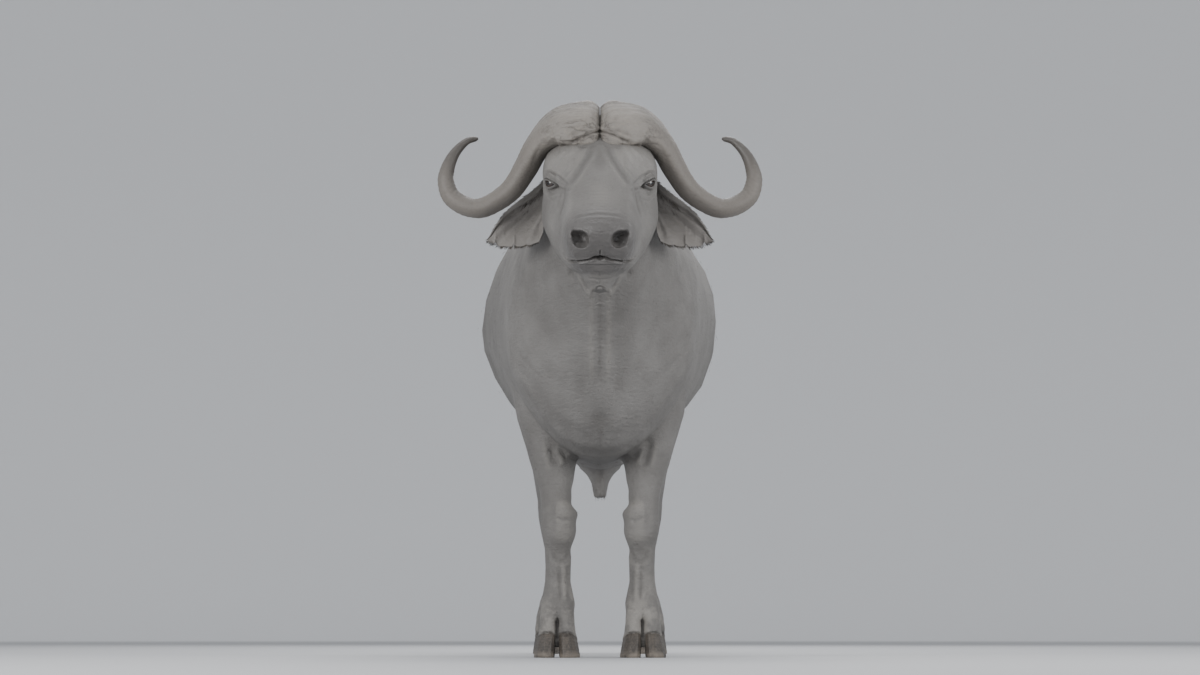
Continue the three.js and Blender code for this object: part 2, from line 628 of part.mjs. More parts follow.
// One claw of a foot: flat below, rounded outside, flatter towards its twin
function clawSolid(foot, side, twin, grow = 0) {
  const around = 10;
  const length = foot.heel - foot.toe;
  const levels = [
    { z: 0, wide: 0.98, apart: 1, from: 0, to: 1 },
    { z: 7, wide: 1, apart: 0.99, from: 0.01, to: 1 },
    { z: 36, wide: 0.92, apart: 0.92, from: 0.12, to: 0.98 },
    { z: foot.coronet - 14, wide: 0.82, apart: 0.84, from: 0.25, to: 0.93 },
    { z: foot.coronet, wide: 0.72, apart: 0.82, from: 0.32, to: 0.86 },
  ];
  const rings = levels.map((level, k) => {
    const wide = (foot.width / 2) * level.wide + grow;
    const front = foot.toe + length * level.from - grow;
    const back = foot.toe + length * level.to + grow;
    const lift = k === 0 ? -grow : k === levels.length - 1 ? grow : 0;
    const ring = [];
    for (let i = 0; i < around; i++) {
      const turn = (i / around) * 2 * Math.PI;
      const along = signedPower(Math.sin(turn), 0.9);
      const acrossWay = signedPower(Math.cos(turn), 0.86);
      const flatSide = acrossWay * twin < 0 ? 0.84 : 1;
      const toeIn = 6 * twin * Math.max(0, -along);
      const x = foot.x + twin * foot.splay * level.apart + wide * acrossWay * flatSide - toeIn;
      const y = (front + back) / 2 + ((back - front) / 2) * along;
      ring.push(new THREE.Vector3(side * x, y, level.z + lift));
    }
    return ring;
  });
  return solidOf(skin(rings));
}

// The two fleshy toes above the claws, leaning forward from the fetlock
function toeSolid(foot, side, twin, grow = 0) {
  const length = foot.heel - foot.toe;
  const stations = [
    { z: 176, forward: 0.72, deep: 26, half: 15 },
    { z: 130, forward: 0.64, deep: 47, half: 23.5 },
    { z: foot.coronet - 2, forward: 0.575, deep: 49, half: 26 },
    { z: foot.coronet - 16, forward: 0.575, deep: 43, half: 22 },
  ];
  const middle = (z) => foot.x + twin * foot.splay * (z > 150 ? 0.7 : 0.8);
  const limb = stations.map((s) => ({
    z: s.z,
    outer: middle(s.z) + s.half,
    inner: middle(s.z) - s.half,
    front: foot.toe + length * s.forward - s.deep,
    back: foot.toe + length * s.forward + s.deep,
    full: 2.1,
  }));
  return limbSolid(limb, side, grow, 90, 10);
}

// The small claw behind the fetlock
function dewclawSolid(foot, side, twin) {
  const geometry = new THREE.SphereGeometry(1, 6, 4);
  geometry.scale(15, 15, 24);
  geometry.rotateX(THREE.MathUtils.degToRad(20));
  geometry.translate(side * (foot.x + twin * 25), foot.dewclaw, 112);
  return solidOf(geometry);
}

// A flat, tapered lock of hair that hangs from a root along a bent line
function lockSolid(root, way, length, width, bend) {
  const stations = [0, 0.35, 0.72, 1].map((t) => {
    const p = root.clone().addScaledVector(way, length * t).addScaledVector(bend, t * t);
    const taper = [0.85, 1, 0.66, 0.12][Math.round(t * 3)];
    return { at: p.toArray(), thick: width * taper * 0.55, deep: width * taper };
  });
  return tubeSolid(stations, { across: () => new THREE.Vector3(1, 0.3, 0), along: 1, around: 4 });
}

// A seeded random draw, so that every build is the same
function seeded(seed) {
  let state = seed;
  return () => {
    state = (state * 1664525 + 1013904223) % 4294967296;
    return state / 4294967296;
  };
}

// The tassel: locks in rings round a slim core, fused into one piece
function tasselSolid() {
  const draw = seeded(11);
  const core = roundTube(
    [
      { at: [0, TASSEL.y, TASSEL.top], radius: 11 },
      { at: [0, TASSEL.y, TASSEL.top - 90], radius: 17 },
      { at: [0, TASSEL.y, TASSEL.top - 190], radius: 11 },
      { at: [0, TASSEL.y, TASSEL.top - 240], radius: 4 },
    ],
    { along: 1, around: 8 },
  );
  let made = core;
  for (let i = 0; i < TASSEL.locks; i++) {
    const share = i / TASSEL.locks;
    const turn = i * 2.4;
    const outward = new THREE.Vector3(Math.cos(turn), Math.sin(turn), 0);
    const start = TASSEL.top - 22 - 110 * share;
    const root = new THREE.Vector3(0, TASSEL.y, start).addScaledVector(outward, 6);
    const length = (start - TASSEL.tip) * (0.72 + 0.28 * draw());
    const way = new THREE.Vector3(0, 0, -1);
    const bend = outward.clone().multiplyScalar(TASSEL.spread * (0.35 + 0.5 * draw()));
    made = made.add(lockSolid(root, way, length, TASSEL.lockWidth, bend));
  }
  return largest(made);
}

// The beard: a blunt wedge below the chin with short locks at its end
function beardSolids() {
  const draw = seeded(5);
  const made = [limbSolid(BEARD.core.map(middleStation), 1, 0, 60, 12)];
  const end = BEARD.core[BEARD.core.length - 1];
  for (let i = 0; i < BEARD.locks; i++) {
    const share = (2 * i) / (BEARD.locks - 1) - 1;
    const y = (end.front + end.back) / 2 + 12 * (i % 2 ? 1 : -1);
    const root = new THREE.Vector3(share * end.half * 0.8, y, end.z + 22);
    const way = new THREE.Vector3(0.1 * share, 0.1, -1).normalize();
    const length = root.z - BEARD.tip - 4 * draw();
    made.push(lockSolid(root, way, length, BEARD.lockWidth, new THREE.Vector3(0, 6, 0)));
  }
  return made;
}

// A closed plate that follows a bent line in the head's frame, to part what it crosses
function partingPlate(line, thickness, halfWidth) {
  const shape = new THREE.Shape();
  line.forEach(([h, n], i) => shape[i ? "lineTo" : "moveTo"](h, n + thickness[i] / 2));
  [...line.keys()].reverse().forEach((i) => shape.lineTo(line[i][0], line[i][1] - thickness[i] / 2));
  const geometry = new THREE.ExtrudeGeometry(shape, { depth: 2 * halfWidth, bevelEnabled: false });
  geometry.translate(0, 0, -halfWidth);
  const place = new THREE.Matrix4().makeBasis(HEAD_AXIS, HEAD_UP, new THREE.Vector3(-1, 0, 0));
  place.setPosition(0, POLL.y, POLL.z);
  geometry.applyMatrix4(place);
  return solidOf(geometry);
}

// A thin box that parts whatever it crosses
function slab(centre, size, lean = 0) {
  const geometry = new THREE.BoxGeometry(...size);
  geometry.rotateX(lean);
  geometry.translate(...centre);
  return solidOf(geometry);
}

function sphereSolid(radius, centre, wide = 14, high = 10) {
  const geometry = new THREE.SphereGeometry(radius, wide, high);
  geometry.translate(centre.x, centre.y, centre.z);
  return solidOf(geometry);
}

// The eye's own directions: its gaze, along its opening to the muzzle, and across to the brow
function eyeFrame(side) {
  const centre = headPoint(side * EYE.x, EYE.h, EYE.n);
  const [x, h, n] = EYE.gaze;
  const gaze = headPoint(side * (EYE.x + x), EYE.h + h, EYE.n + n).sub(centre).normalize();
  const along = HEAD_AXIS.clone().addScaledVector(gaze, -HEAD_AXIS.dot(gaze)).normalize();
  const across = gaze.clone().cross(along).multiplyScalar(side > 0 ? -1 : 1);
  if (across.dot(HEAD_UP) < 0) across.negate();
  return { centre, gaze, along, across };
}

// A lid: a bent roll that hugs the eyeball from one corner of its opening to the other
function lidSolid(side, upper) {
  const { centre, gaze, along, across } = eyeFrame(side);
  const stations = [];
  const steps = 7;
  for (let i = 0; i <= steps; i++) {
    const turn = Math.PI * (-0.06 + (1.12 * i) / steps);
    const a = THREE.MathUtils.degToRad(EYE.openAlong) * Math.cos(turn);
    const b = THREE.MathUtils.degToRad(EYE.openAcross) * Math.sin(turn) * (upper ? 1 : -1);
    const tip = Math.hypot(a, b);
    const way = gaze.clone().multiplyScalar(Math.cos(tip));
    way.addScaledVector(along, (Math.sin(tip) * a) / tip);
    way.addScaledVector(across, (Math.sin(tip) * b) / tip);
    const radius = (upper ? 4.5 : 4) + (upper ? 3 : 1.5) * Math.max(0, Math.sin(turn));
    stations.push({ at: centre.clone().addScaledVector(way, EYE.radius + 2).toArray(), radius });
  }
  return roundTube(stations, { along: 1, around: 6 });
}

// A nostril: a comma-shaped hollow that runs back and outward
function nostrilHollow(side) {
  const stations = [
    { x: NOSTRIL.x - 4, h: NOSTRIL.h + 30, n: NOSTRIL.n - 2, wide: 1.15, tall: 1.15 },
    { x: NOSTRIL.x, h: NOSTRIL.h, n: NOSTRIL.n, wide: 1, tall: 1 },
    { x: NOSTRIL.x + 4, h: NOSTRIL.h - 22, n: NOSTRIL.n + 5, wide: 0.8, tall: 0.75 },
    { x: NOSTRIL.x - 2, h: NOSTRIL.h - NOSTRIL.deep, n: NOSTRIL.n + 12, wide: 0.45, tall: 0.4 },
  ].map((s) => ({
    at: headPoint(side * s.x, s.h, s.n).toArray(),
    thick: 2 * NOSTRIL.tall * s.tall,
    deep: 2 * NOSTRIL.wide * s.wide,
  }));
  return tubeSolid(stations, { across: () => new THREE.Vector3(1, 0, 0), along: 1, around: 12 });
}

// The gap under the middle of the upper lip
function philtrumNotch() {
  const { h, n, wide, tall, deep } = MOUTH.philtrum;
  const shape = new THREE.Shape();
  shape.moveTo(-wide, -tall / 2);
  shape.lineTo(wide, -tall / 2);
  shape.lineTo(0, tall);
  const geometry = new THREE.ExtrudeGeometry(shape, { depth: deep, bevelEnabled: false });
  const across = new THREE.Vector3(1, 0, 0);
  const place = new THREE.Matrix4().makeBasis(across, HEAD_UP, HEAD_AXIS.clone().negate());
  place.setPosition(headPoint(0, h, n));
  geometry.applyMatrix4(place);
  return solidOf(geometry);
}

const nodes = [];
function addNode(name, solid, colour) {
  nodes.push({ name, solid, colour });
}

const sides = [
  { name: "left", side: 1 },
  { name: "right", side: -1 },
];

// Trunk and neck, with a seat for each limb, the sheath, the tail and the head
const sheath = (grow) => limbSolid(SHEATH.map(middleStation), 1, grow, 60);
const tail = (grow) => roundTube(TAIL, { along: 2, around: 10, grow });
let trunk = trunkSolid();
for (const { side } of sides) {
  trunk = trunk.subtract(limbSolid(FORELEG, side, GAP));
  trunk = trunk.subtract(limbSolid(HIND_LEG, side, GAP));
  trunk = trunk.subtract(hornSolid(side, GAP));
}
trunk = trunk.subtract(sheath(GAP)).subtract(tail(GAP)).subtract(headSolid(GAP));
const NECK_CUT = {
  centre: [0, -215, 1080],
  size: [1200, GAP, 1500],
  lean: THREE.MathUtils.degToRad(-26),
};
const [front, rear] = trunk
  .subtract(slab(NECK_CUT.centre, NECK_CUT.size, NECK_CUT.lean))
  .decompose()
  .sort((a, b) => b.volume() - a.volume())
  .slice(0, 2)
  .reverse();
addNode("torso", rear, "hide");
addNode("neck", front, "hide");
addNode("sheath", sheath(0), "hide");

// The head: lids and beard joined on, then nostrils, eye seats and mouth cut
let head = headSolid();
for (const { side } of sides) {
  const { centre, gaze } = eyeFrame(side);
  head = head.subtract(sphereSolid(SOCKET.radius, centre.clone().addScaledVector(gaze, SOCKET.ahead)));
  for (const upper of [true, false]) head = head.add(lidSolid(side, upper));
}
for (const lock of beardSolids()) head = head.add(lock);
for (const { side } of sides) {
  head = head.subtract(nostrilHollow(side));
  head = head.subtract(sphereSolid(EYE.radius + GAP, headPoint(side * EYE.x, EYE.h, EYE.n)));
}
head = head.subtract(philtrumNotch());
const headParts = head
  .subtract(partingPlate(MOUTH.line, MOUTH.slit, 260))
  .decompose()
  .sort((a, b) => b.volume() - a.volume());
addNode("head", headParts[0], "hide");
addNode("lower_jaw", headParts[1], "hide");

const seat = headSolid(GAP);
const nape = trunkSolid(GAP);
for (const { name, side } of sides) {
  addNode(`eye_${name}`, sphereSolid(EYE.radius, headPoint(side * EYE.x, EYE.h, EYE.n)), "eye");
  addNode(`horn_${name}`, largest(hornSolid(side).subtract(seat)), "horn");
  const ear = earSolid(side).subtract(seat).subtract(nape).subtract(hornSolid(side, GAP));
  addNode(`ear_${name}`, largest(ear), "hide");
}

// Chips smaller than this, in cubic millimetres, are dropped when a limb is parted
const CHIP = 1000;
// Width and length of the cut that parts a limb
const LIMB_CUT = [600, 900];
// Each limb: parted at the knee or hock and the fetlock, with its claws and dewclaws
const limbs = [
  {
    limb: "foreleg",
    stations: FORELEG,
    joints: FORELEG_JOINTS,
    foot: FORE_FOOT,
    partNames: ["forearm", "knee_and_cannon", "pastern"],
  },
  {
    limb: "hind_leg",
    stations: HIND_LEG,
    joints: HIND_LEG_JOINTS,
    foot: HIND_FOOT,
    partNames: ["thigh", "hock_and_cannon", "pastern"],
  },
];
for (const { limb, stations, joints, foot, partNames } of limbs)
  for (const { name, side } of sides) {
    let leg = limbSolid(stations, side);
    for (const twin of [1, -1]) leg = leg.add(toeSolid(foot, side, twin));
    const seatOfDewclaws = leg;
    for (const twin of [1, -1]) leg = leg.subtract(clawSolid(foot, side, twin, GAP));
    const footY = (foot.toe + foot.heel) / 2;
    for (const z of joints) leg = leg.subtract(slab([side * foot.x, footY, z], [...LIMB_CUT, GAP]));
    const parts = leg.decompose().filter((p) => p.volume() > CHIP);
    parts.sort((a, b) => b.boundingBox().max[2] - a.boundingBox().max[2]);
    partNames.forEach((part, i) => addNode(`${limb}_${name}_${part}`, parts[i], "hide"));
    for (const [twin, claw] of [[1, "outer"], [-1, "inner"]]) {
      addNode(`${limb}_${name}_claw_${claw}`, clawSolid(foot, side, twin), "hoof");
      const dewclaw = dewclawSolid(foot, side, twin).subtract(seatOfDewclaws);
      const clear = dewclaw.subtract(seatOfDewclaws.translate([0, GAP, 0]));
      addNode(`${limb}_${name}_dewclaw_${claw}`, largest(clear), "hoof");
    }
  }

// The tail, with its tassel kept clear of the dock's end
const dock = tail(0);
addNode("tail_dock", dock, "hide");
addNode("tail_tassel", largest(tasselSolid().subtract(tail(GAP))), "hair");

const bull = new THREE.Group();
for (const { name, solid, colour } of nodes) {
  const material = new THREE.MeshStandardMaterial(COLOURS[colour]);
  const mesh = new THREE.Mesh(geometryOfSolid(solid), material);
  mesh.name = name;
  bull.add(mesh);
}
// The part's origin is on the floor, under the middle of the bull's length
const reach = new THREE.Box3().setFromObject(bull);
bull.position.y = -Math.round((reach.min.y + reach.max.y) / 2);

const model = new THREE.Group();
model.add(bull);
export default model;
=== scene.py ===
"""An African buffalo bull, standing still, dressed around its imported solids.

All sizes are in metres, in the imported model's frame: x across, y towards the rump, z up from the floor.
"""

import logging
import math
from dataclasses import dataclass, field
from enum import Enum
from typing import Callable, Sequence

import bmesh
import bpy
import numpy as np
from mathutils import Matrix, Vector
from mathutils.bvhtree import BVHTree


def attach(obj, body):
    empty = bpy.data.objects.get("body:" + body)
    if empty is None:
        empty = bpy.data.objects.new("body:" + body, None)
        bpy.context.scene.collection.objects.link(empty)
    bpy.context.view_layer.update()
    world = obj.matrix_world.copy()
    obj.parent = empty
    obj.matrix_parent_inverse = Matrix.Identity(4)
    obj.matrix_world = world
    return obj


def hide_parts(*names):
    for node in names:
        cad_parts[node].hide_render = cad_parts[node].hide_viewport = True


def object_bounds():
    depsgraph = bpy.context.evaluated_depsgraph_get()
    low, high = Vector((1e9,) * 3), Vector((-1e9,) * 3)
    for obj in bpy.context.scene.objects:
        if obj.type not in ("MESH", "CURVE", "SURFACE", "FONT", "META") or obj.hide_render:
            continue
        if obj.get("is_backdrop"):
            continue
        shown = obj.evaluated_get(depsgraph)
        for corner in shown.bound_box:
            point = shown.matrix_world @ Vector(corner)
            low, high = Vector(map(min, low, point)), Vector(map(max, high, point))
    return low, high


LOG = logging.getLogger("buffalo")
SIDES = (1, -1)
SEED = 20
Point = tuple[float, float, float]
Pair = tuple[float, float]
POLL = Vector((0, -0.853, 1.5))
NOSE_DROP = math.radians(39)
HEAD_AXIS = Vector((0, -math.cos(NOSE_DROP), -math.sin(NOSE_DROP)))
HEAD_UP = Vector((0, -math.sin(NOSE_DROP), math.cos(NOSE_DROP)))
EYE_RADIUS = 0.025
EYE_PLACE = (0.1295, 0.250, 0.002)


def side_name(side: int) -> str:
    """The word that names a side in the solids."""
    return "left" if side > 0 else "right"


def head_point(x: float, h: float, n: float) -> Vector:
    """A point x across, h down the nose from the poll and n above the head's line."""
    return POLL + Vector((x, 0, 0)) + HEAD_AXIS * h + HEAD_UP * n


def head_places(points: np.ndarray) -> np.ndarray:
    """Turns frame points into the head's own x, h and n.

    Args:
        points: Rows of x, y, z.

    Returns:
        Rows of x, h, n.
    """
    from_poll = points - np.array(POLL)
    return np.stack([from_poll[:, 0], from_poll @ np.array(HEAD_AXIS), from_poll @ np.array(HEAD_UP)], 1)


def smoothstep(low: float, high: float, value: np.ndarray) -> np.ndarray:
    """A soft step from 0 at low to 1 at high."""
    t = np.clip((value - low) / (high - low), 0, 1)
    return t * t * (3 - 2 * t)


def smooth(low: float, high: float, value: float) -> float:
    """The soft step for one number; it falls where low is above high."""
    t = min(1.0, max(0.0, (value - low) / (high - low)))
    return t * t * (3 - 2 * t)


def bell(distance: np.ndarray | float, width: float) -> np.ndarray | float:
    """A bell curve of 1 at no distance."""
    return np.exp(-((distance / width) ** 2))


@dataclass
class FrontView:
    """The photograph's camera: where it stands, how it tilts, and where it sees a point."""

    place: Point = (0.0, -8.993, 0.083)
    pitch: float = math.radians(5.895)
    lens: float = 85.0
    sensor: float = 36.0
    wide: int = 1200
    high: int = 675

    def points(self, places: np.ndarray) -> np.ndarray:
        """Turns frame points into picture points, with the sideways one counted from the middle line."""
        rel = places - np.array(self.place)
        ahead = rel[:, 1] * math.cos(self.pitch) + rel[:, 2] * math.sin(self.pitch)
        above = rel[:, 2] * math.cos(self.pitch) - rel[:, 1] * math.sin(self.pitch)
        zoom = self.lens / self.sensor * self.wide
        return np.stack([np.abs(rel[:, 0]) / ahead * zoom, self.high / 2 - above / ahead * zoom], 1)

    def ray(self, across: float, down: float) -> tuple[Vector, Vector]:
        """The ray through a picture point.

        Args:
            across: Picture points to the right of the middle line.
            down: Picture points below the top edge.

        Returns:
            The ray's start and its direction.
        """
        zoom = self.lens / self.sensor * self.wide
        ahead = Vector((0, math.cos(self.pitch), math.sin(self.pitch)))
        above = Vector((0, -math.sin(self.pitch), math.cos(self.pitch)))
        way = ahead + Vector((1, 0, 0)) * (across / zoom) + above * ((self.high / 2 - down) / zoom)
        return Vector(self.place), way.normalized()

    def build(self) -> bpy.types.Object:
        """Makes the camera and hands it to the scene."""
        data = bpy.data.cameras.new("photo_camera")
        data.lens = self.lens
        data.sensor_width = self.sensor
        camera = bpy.data.objects.new("photo_camera", data)
        camera.location = self.place
        camera.rotation_euler = (math.pi / 2 + self.pitch, 0, 0)
        bpy.context.scene.collection.objects.link(camera)
        bpy.context.scene.camera = camera
        return camera


VIEW = FrontView()


class Value:
    """A shader socket that Python's operators build on."""

    def __init__(self, tree: "Tree", socket: bpy.types.NodeSocket) -> None:
        """Keeps the tree and the socket."""
        self.tree = tree
        self.socket = socket

    def _math(self, operation: str, first: object, second: object) -> "Value":
        """Adds one Math node."""
        return self.tree.node("ShaderNodeMath", {"operation": operation}, {0: first, 1: second})

    def __add__(self, other: object) -> "Value":
        """Sum."""
        return self._math("ADD", self, other)

    def __radd__(self, other: object) -> "Value":
        """Sum, with the number first."""
        return self._math("ADD", other, self)

    def __sub__(self, other: object) -> "Value":
        """Difference."""
        return self._math("SUBTRACT", self, other)

    def __rsub__(self, other: object) -> "Value":
        """Difference, with the number first."""
        return self._math("SUBTRACT", other, self)

    def __mul__(self, other: object) -> "Value":
        """Product."""
        return self._math("MULTIPLY", self, other)

    def __rmul__(self, other: object) -> "Value":
        """Product, with the number first."""
        return self._math("MULTIPLY", other, self)

    def __pow__(self, other: object) -> "Value":
        """Power."""
        return self._math("POWER", self, other)

    def sine(self) -> "Value":
        """Sine of the value."""
        return self._math("SINE", self, 0.0)

    def soft(self, low: float, high: float) -> "Value":
        """A soft step from 0 at low to 1 at high."""
        settings = {"interpolation_type": "SMOOTHSTEP"}
        inputs = {"Value": self, "From Min": low, "From Max": high}
        return self.tree.node("ShaderNodeMapRange", settings, inputs)


class Tree:
    """One material's node tree."""

    def __init__(self, name: str) -> None:
        """Starts a material with only its shader and output."""
        self.material = bpy.data.materials.new(name)
        self.material.use_nodes = True
        self.nodes = self.material.node_tree.nodes
        self.nodes.clear()
        self.output = self.nodes.new("ShaderNodeOutputMaterial")
        self.shader = self.nodes.new("ShaderNodeBsdfPrincipled")
        self.link(self.shader.outputs[0], self.output.inputs["Surface"])
        self.place = Value(self, self.nodes.new("ShaderNodeTexCoord").outputs["Object"])

    def link(self, source: bpy.types.NodeSocket, target: bpy.types.NodeSocket) -> None:
        """Joins two sockets."""
        self.material.node_tree.links.new(source, target)

    def feed(self, socket: bpy.types.NodeSocket, value: object) -> None:
        """Links a Value to a socket, or sets a plain value on it."""
        if isinstance(value, Value):
            self.link(value.socket, socket)
        elif isinstance(value, (tuple, list, Vector)) and len(value) == 3 and socket.type == "RGBA":
            socket.default_value = (*value, 1.0)
        else:
            socket.default_value = value

    def node(
        self,
        kind: str,
        settings: dict | None = None,
        inputs: dict | None = None,
        output: object = 0,
    ) -> Value:
        """Adds a node.

        Args:
            kind: The node's type.
            settings: Its own settings, set first.
            inputs: Values or links, by socket name or number.
            output: The output that is wanted, by name or number.

        Returns:
            That output.
        """
        node = self.nodes.new(kind)
        for key, value in (settings or {}).items():
            setattr(node, key, value)
        for key, value in (inputs or {}).items():
            self.feed(node.inputs[key], value)
        return Value(self, node.outputs[output])

    def stretched(self, scale: Point, turn: Point = (0, 0, 0)) -> Value:
        """Object coordinates, turned and scaled."""
        return self.node("ShaderNodeMapping", inputs={"Vector": self.place, "Rotation": turn, "Scale": scale})

    def noise(self, scale: float, detail: float = 3.0, rough: float = 0.55, at: Value | None = None) -> Value:
        """Soft noise from 0 to 1."""
        inputs = {"Vector": at or self.place, "Scale": scale, "Detail": detail, "Roughness": rough}
        return self.node("ShaderNodeTexNoise", inputs=inputs)

    def cells(self, scale: float, feature: str = "F1") -> Value:
        """Distance in a cell pattern."""
        inputs = {"Vector": self.place, "Scale": scale}
        return self.node("ShaderNodeTexVoronoi", {"feature": feature}, inputs, "Distance")

    def mixed(self, factor: object, first: object, second: object) -> Value:
        """A mix of two colours."""
        node = self.nodes.new("ShaderNodeMix")
        node.data_type = "RGBA"
        self.feed(node.inputs["Factor"], factor)
        self.feed(node.inputs[6], first)
        self.feed(node.inputs[7], second)
        return Value(self, node.outputs[2])

    def axis(self, name: str, of: Value | None = None) -> Value:
        """One of the three coordinates."""
        return self.node("ShaderNodeSeparateXYZ", inputs={0: of or self.place}, output=name)

    def along(self, way: Sequence[float], start: Sequence[float] = (0, 0, 0)) -> Value:
        """How far a place lies from start in one direction."""
        settings = {"operation": "DOT_PRODUCT"}
        rel = self.node("ShaderNodeVectorMath", {"operation": "SUBTRACT"}, {0: self.place, 1: tuple(start)})
        return self.node("ShaderNodeVectorMath", settings, {0: rel, 1: tuple(way)}, "Value")

    def distance(self, start: Sequence[float]) -> Value:
        """How far a place lies from a point."""
        settings = {"operation": "DISTANCE"}
        return self.node("ShaderNodeVectorMath", settings, {0: self.place, 1: tuple(start)}, "Value")

    def size(self, value: Value) -> Value:
        """A value without its sign."""
        return self.node("ShaderNodeMath", {"operation": "ABSOLUTE"}, {0: value})

    def least(self, first: object, second: object) -> Value:
        """The smaller of two values."""
        return self.node("ShaderNodeMath", {"operation": "MINIMUM"}, {0: first, 1: second})

    def attribute(self, name: str) -> Value:
        """A value that the mesh carries."""
        return self.node("ShaderNodeAttribute", {"attribute_name": name}, output="Fac")

    def bump(self, height: object, depth: float, under: Value | None = None, strength: float = 1.0) -> Value:
        """Bump of the given depth in metres, over another bump where one is given."""
        inputs = {"Height": height, "Distance": depth, "Strength": strength}
        if under is not None:
            inputs["Normal"] = under
        return self.node("ShaderNodeBump", inputs=inputs)

    def finish(self, **sockets: object) -> bpy.types.Material:
        """Sets the shader's sockets, named with _ for a space, and returns the material."""
        for key, value in sockets.items():
            self.feed(self.shader.inputs[key.replace("_", " ").title()], value)
        return self.material


def new_piece(name: str, bm: bmesh.types.BMesh) -> bpy.types.Object:
    """Turns a bmesh into an object at the origin, shaded smooth.

    Args:
        name: The piece's name.
        bm: Its mesh, which is freed.

    Returns:
        The object.
    """
    mesh = bpy.data.meshes.new(name)
    bm.to_mesh(mesh)
    bm.free()
    mesh.polygons.foreach_set("use_smooth", [True] * len(mesh.polygons))
    piece = bpy.data.objects.new(name, mesh)
    bpy.context.scene.collection.objects.link(piece)
    return piece


def settle(piece: bpy.types.Object) -> None:
    """Applies the modifiers of a piece to its mesh."""
    bpy.context.view_layer.update()
    graph = bpy.context.evaluated_depsgraph_get()
    done = bpy.data.meshes.new_from_object(piece.evaluated_get(graph))
    piece.modifiers.clear()
    old = piece.data
    piece.data = done
    bpy.data.meshes.remove(old)


def merged_copy(nodes: Sequence[bpy.types.Object], name: str) -> bpy.types.Object:
    """One object from copies of CAD nodes, with their loose triangles joined.

    Args:
        nodes: The CAD nodes.
        name: The new object's name.

    Returns:
        The object.
    """
    bm = bmesh.new()
    for node in nodes:
        part = bmesh.new()
        part.from_mesh(node.data)
        bmesh.ops.remove_doubles(part, verts=part.verts, dist=1e-5)
        loose = bpy.data.meshes.new("loose")
        part.to_mesh(loose)
        part.free()
        bm.from_mesh(loose)
        bpy.data.meshes.remove(loose)
    return new_piece(name, bm)


def remesh(piece: bpy.types.Object, voxel: float) -> None:
    """Replaces a piece's mesh by one of even squares."""
    modifier = piece.modifiers.new("even", "REMESH")
    modifier.mode = "VOXEL"
    modifier.voxel_size = voxel
    modifier.use_smooth_shade = True
    settle(piece)


def dress(
    piece: bpy.types.Object,
    material: bpy.types.Material,
    nodes: Sequence[str] = (),
) -> None:
    """Gives a piece its material, its body and the CAD nodes that it stands for.

    Args:
        piece: The finished piece.
        material: Its material.
        nodes: Names of the CAD nodes that it replaces.
    """
    piece.data.materials.clear()
    piece.data.materials.append(material)
    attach(piece, "root")
    if nodes:
        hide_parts(*nodes)
    LOG.info("%s: %d faces", piece.name, len(piece.data.polygons))


def first_ring(
    bm: bmesh.types.BMesh, around: int, layer: bmesh.types.BMLayerItem
) -> tuple[list[bmesh.types.BMVert], list[bmesh.types.BMEdge]]:
    """Makes a ring whose points know their number round it.

    Args:
        bm: The mesh that gets the ring.
        around: How many points it has.
        layer: The layer that holds their numbers.

    Returns:
        The ring's points and edges.
    """
    verts = bmesh.ops.create_circle(bm, segments=around, radius=1.0)["verts"]
    for vert in verts:
        turn = math.atan2(vert.co.y, vert.co.x) / (2 * math.pi)
        vert[layer] = round(turn * around) % around
    return verts, list({e for v in verts for e in v.link_edges})


def next_ring(
    bm: bmesh.types.BMesh, edges: Sequence[bmesh.types.BMEdge]
) -> tuple[list[bmesh.types.BMVert], list[bmesh.types.BMEdge]]:
    """Extrudes a ring's edges into a new ring and returns its points and edges."""
    made = bmesh.ops.extrude_edge_only(bm, edges=edges)["geom"]
    verts = [g for g in made if isinstance(g, bmesh.types.BMVert)]
    new = set(verts)
    return verts, [g for g in made if isinstance(g, bmesh.types.BMEdge) and new.issuperset(g.verts)]


def split_big_faces(bm: bmesh.types.BMesh) -> None:
    """Turns every face of more than four corners into triangles."""
    bmesh.ops.triangulate(bm, faces=[f for f in bm.faces if len(f.verts) > 4])


@dataclass(frozen=True)
class Stroke:
    """A crease or ridge along a line, in the two coordinates of some flat view."""

    line: Sequence[Pair]
    width: float
    depth: float
    rim: float = 0.35
    fade: float = 0.25

    def height(self, flat: np.ndarray) -> np.ndarray:
        """How far each point moves out.

        Args:
            flat: Rows of the view's two coordinates.

        Returns:
            One distance a row, below 0 in the crease.
        """
        line = np.array(self.line, float)
        lengths = np.linalg.norm(np.diff(line, axis=0), axis=1)
        run = np.concatenate([[0], np.cumsum(lengths)]) / lengths.sum()
        nearest = np.full(len(flat), np.inf)
        along = np.zeros(len(flat))
        for i, (start, end) in enumerate(zip(line[:-1], line[1:])):
            way = end - start
            t = np.clip((flat - start) @ way / (way @ way), 0, 1)
            gap = np.linalg.norm(flat - start - t[:, None] * way, axis=1)
            closer = gap < nearest
            nearest = np.where(closer, gap, nearest)
            along = np.where(closer, run[i] + t * (run[i + 1] - run[i]), along)
        ends = np.clip(np.minimum(along, 1 - along) / self.fade, 0, 1) if self.fade else 1.0
        groove = bell(nearest, self.width) - self.rim * bell(nearest - 2.1 * self.width, self.width)
        return -self.depth * groove * (0.15 + 0.85 * ends)


@dataclass(frozen=True)
class Mound:
    """A soft swelling, or a hollow where its height is below 0."""

    at: Pair
    size: Pair
    rise: float
    # Degrees
    turn: float = 0.0

    def height(self, flat: np.ndarray) -> np.ndarray:
        """How far each point moves out."""
        rel = flat - np.array(self.at)
        if self.turn:
            c, s = math.cos(math.radians(self.turn)), math.sin(math.radians(self.turn))
            rel = rel @ np.array([[c, -s], [s, c]])
        return self.rise * np.exp(-((rel / np.array(self.size)) ** 2).sum(1))


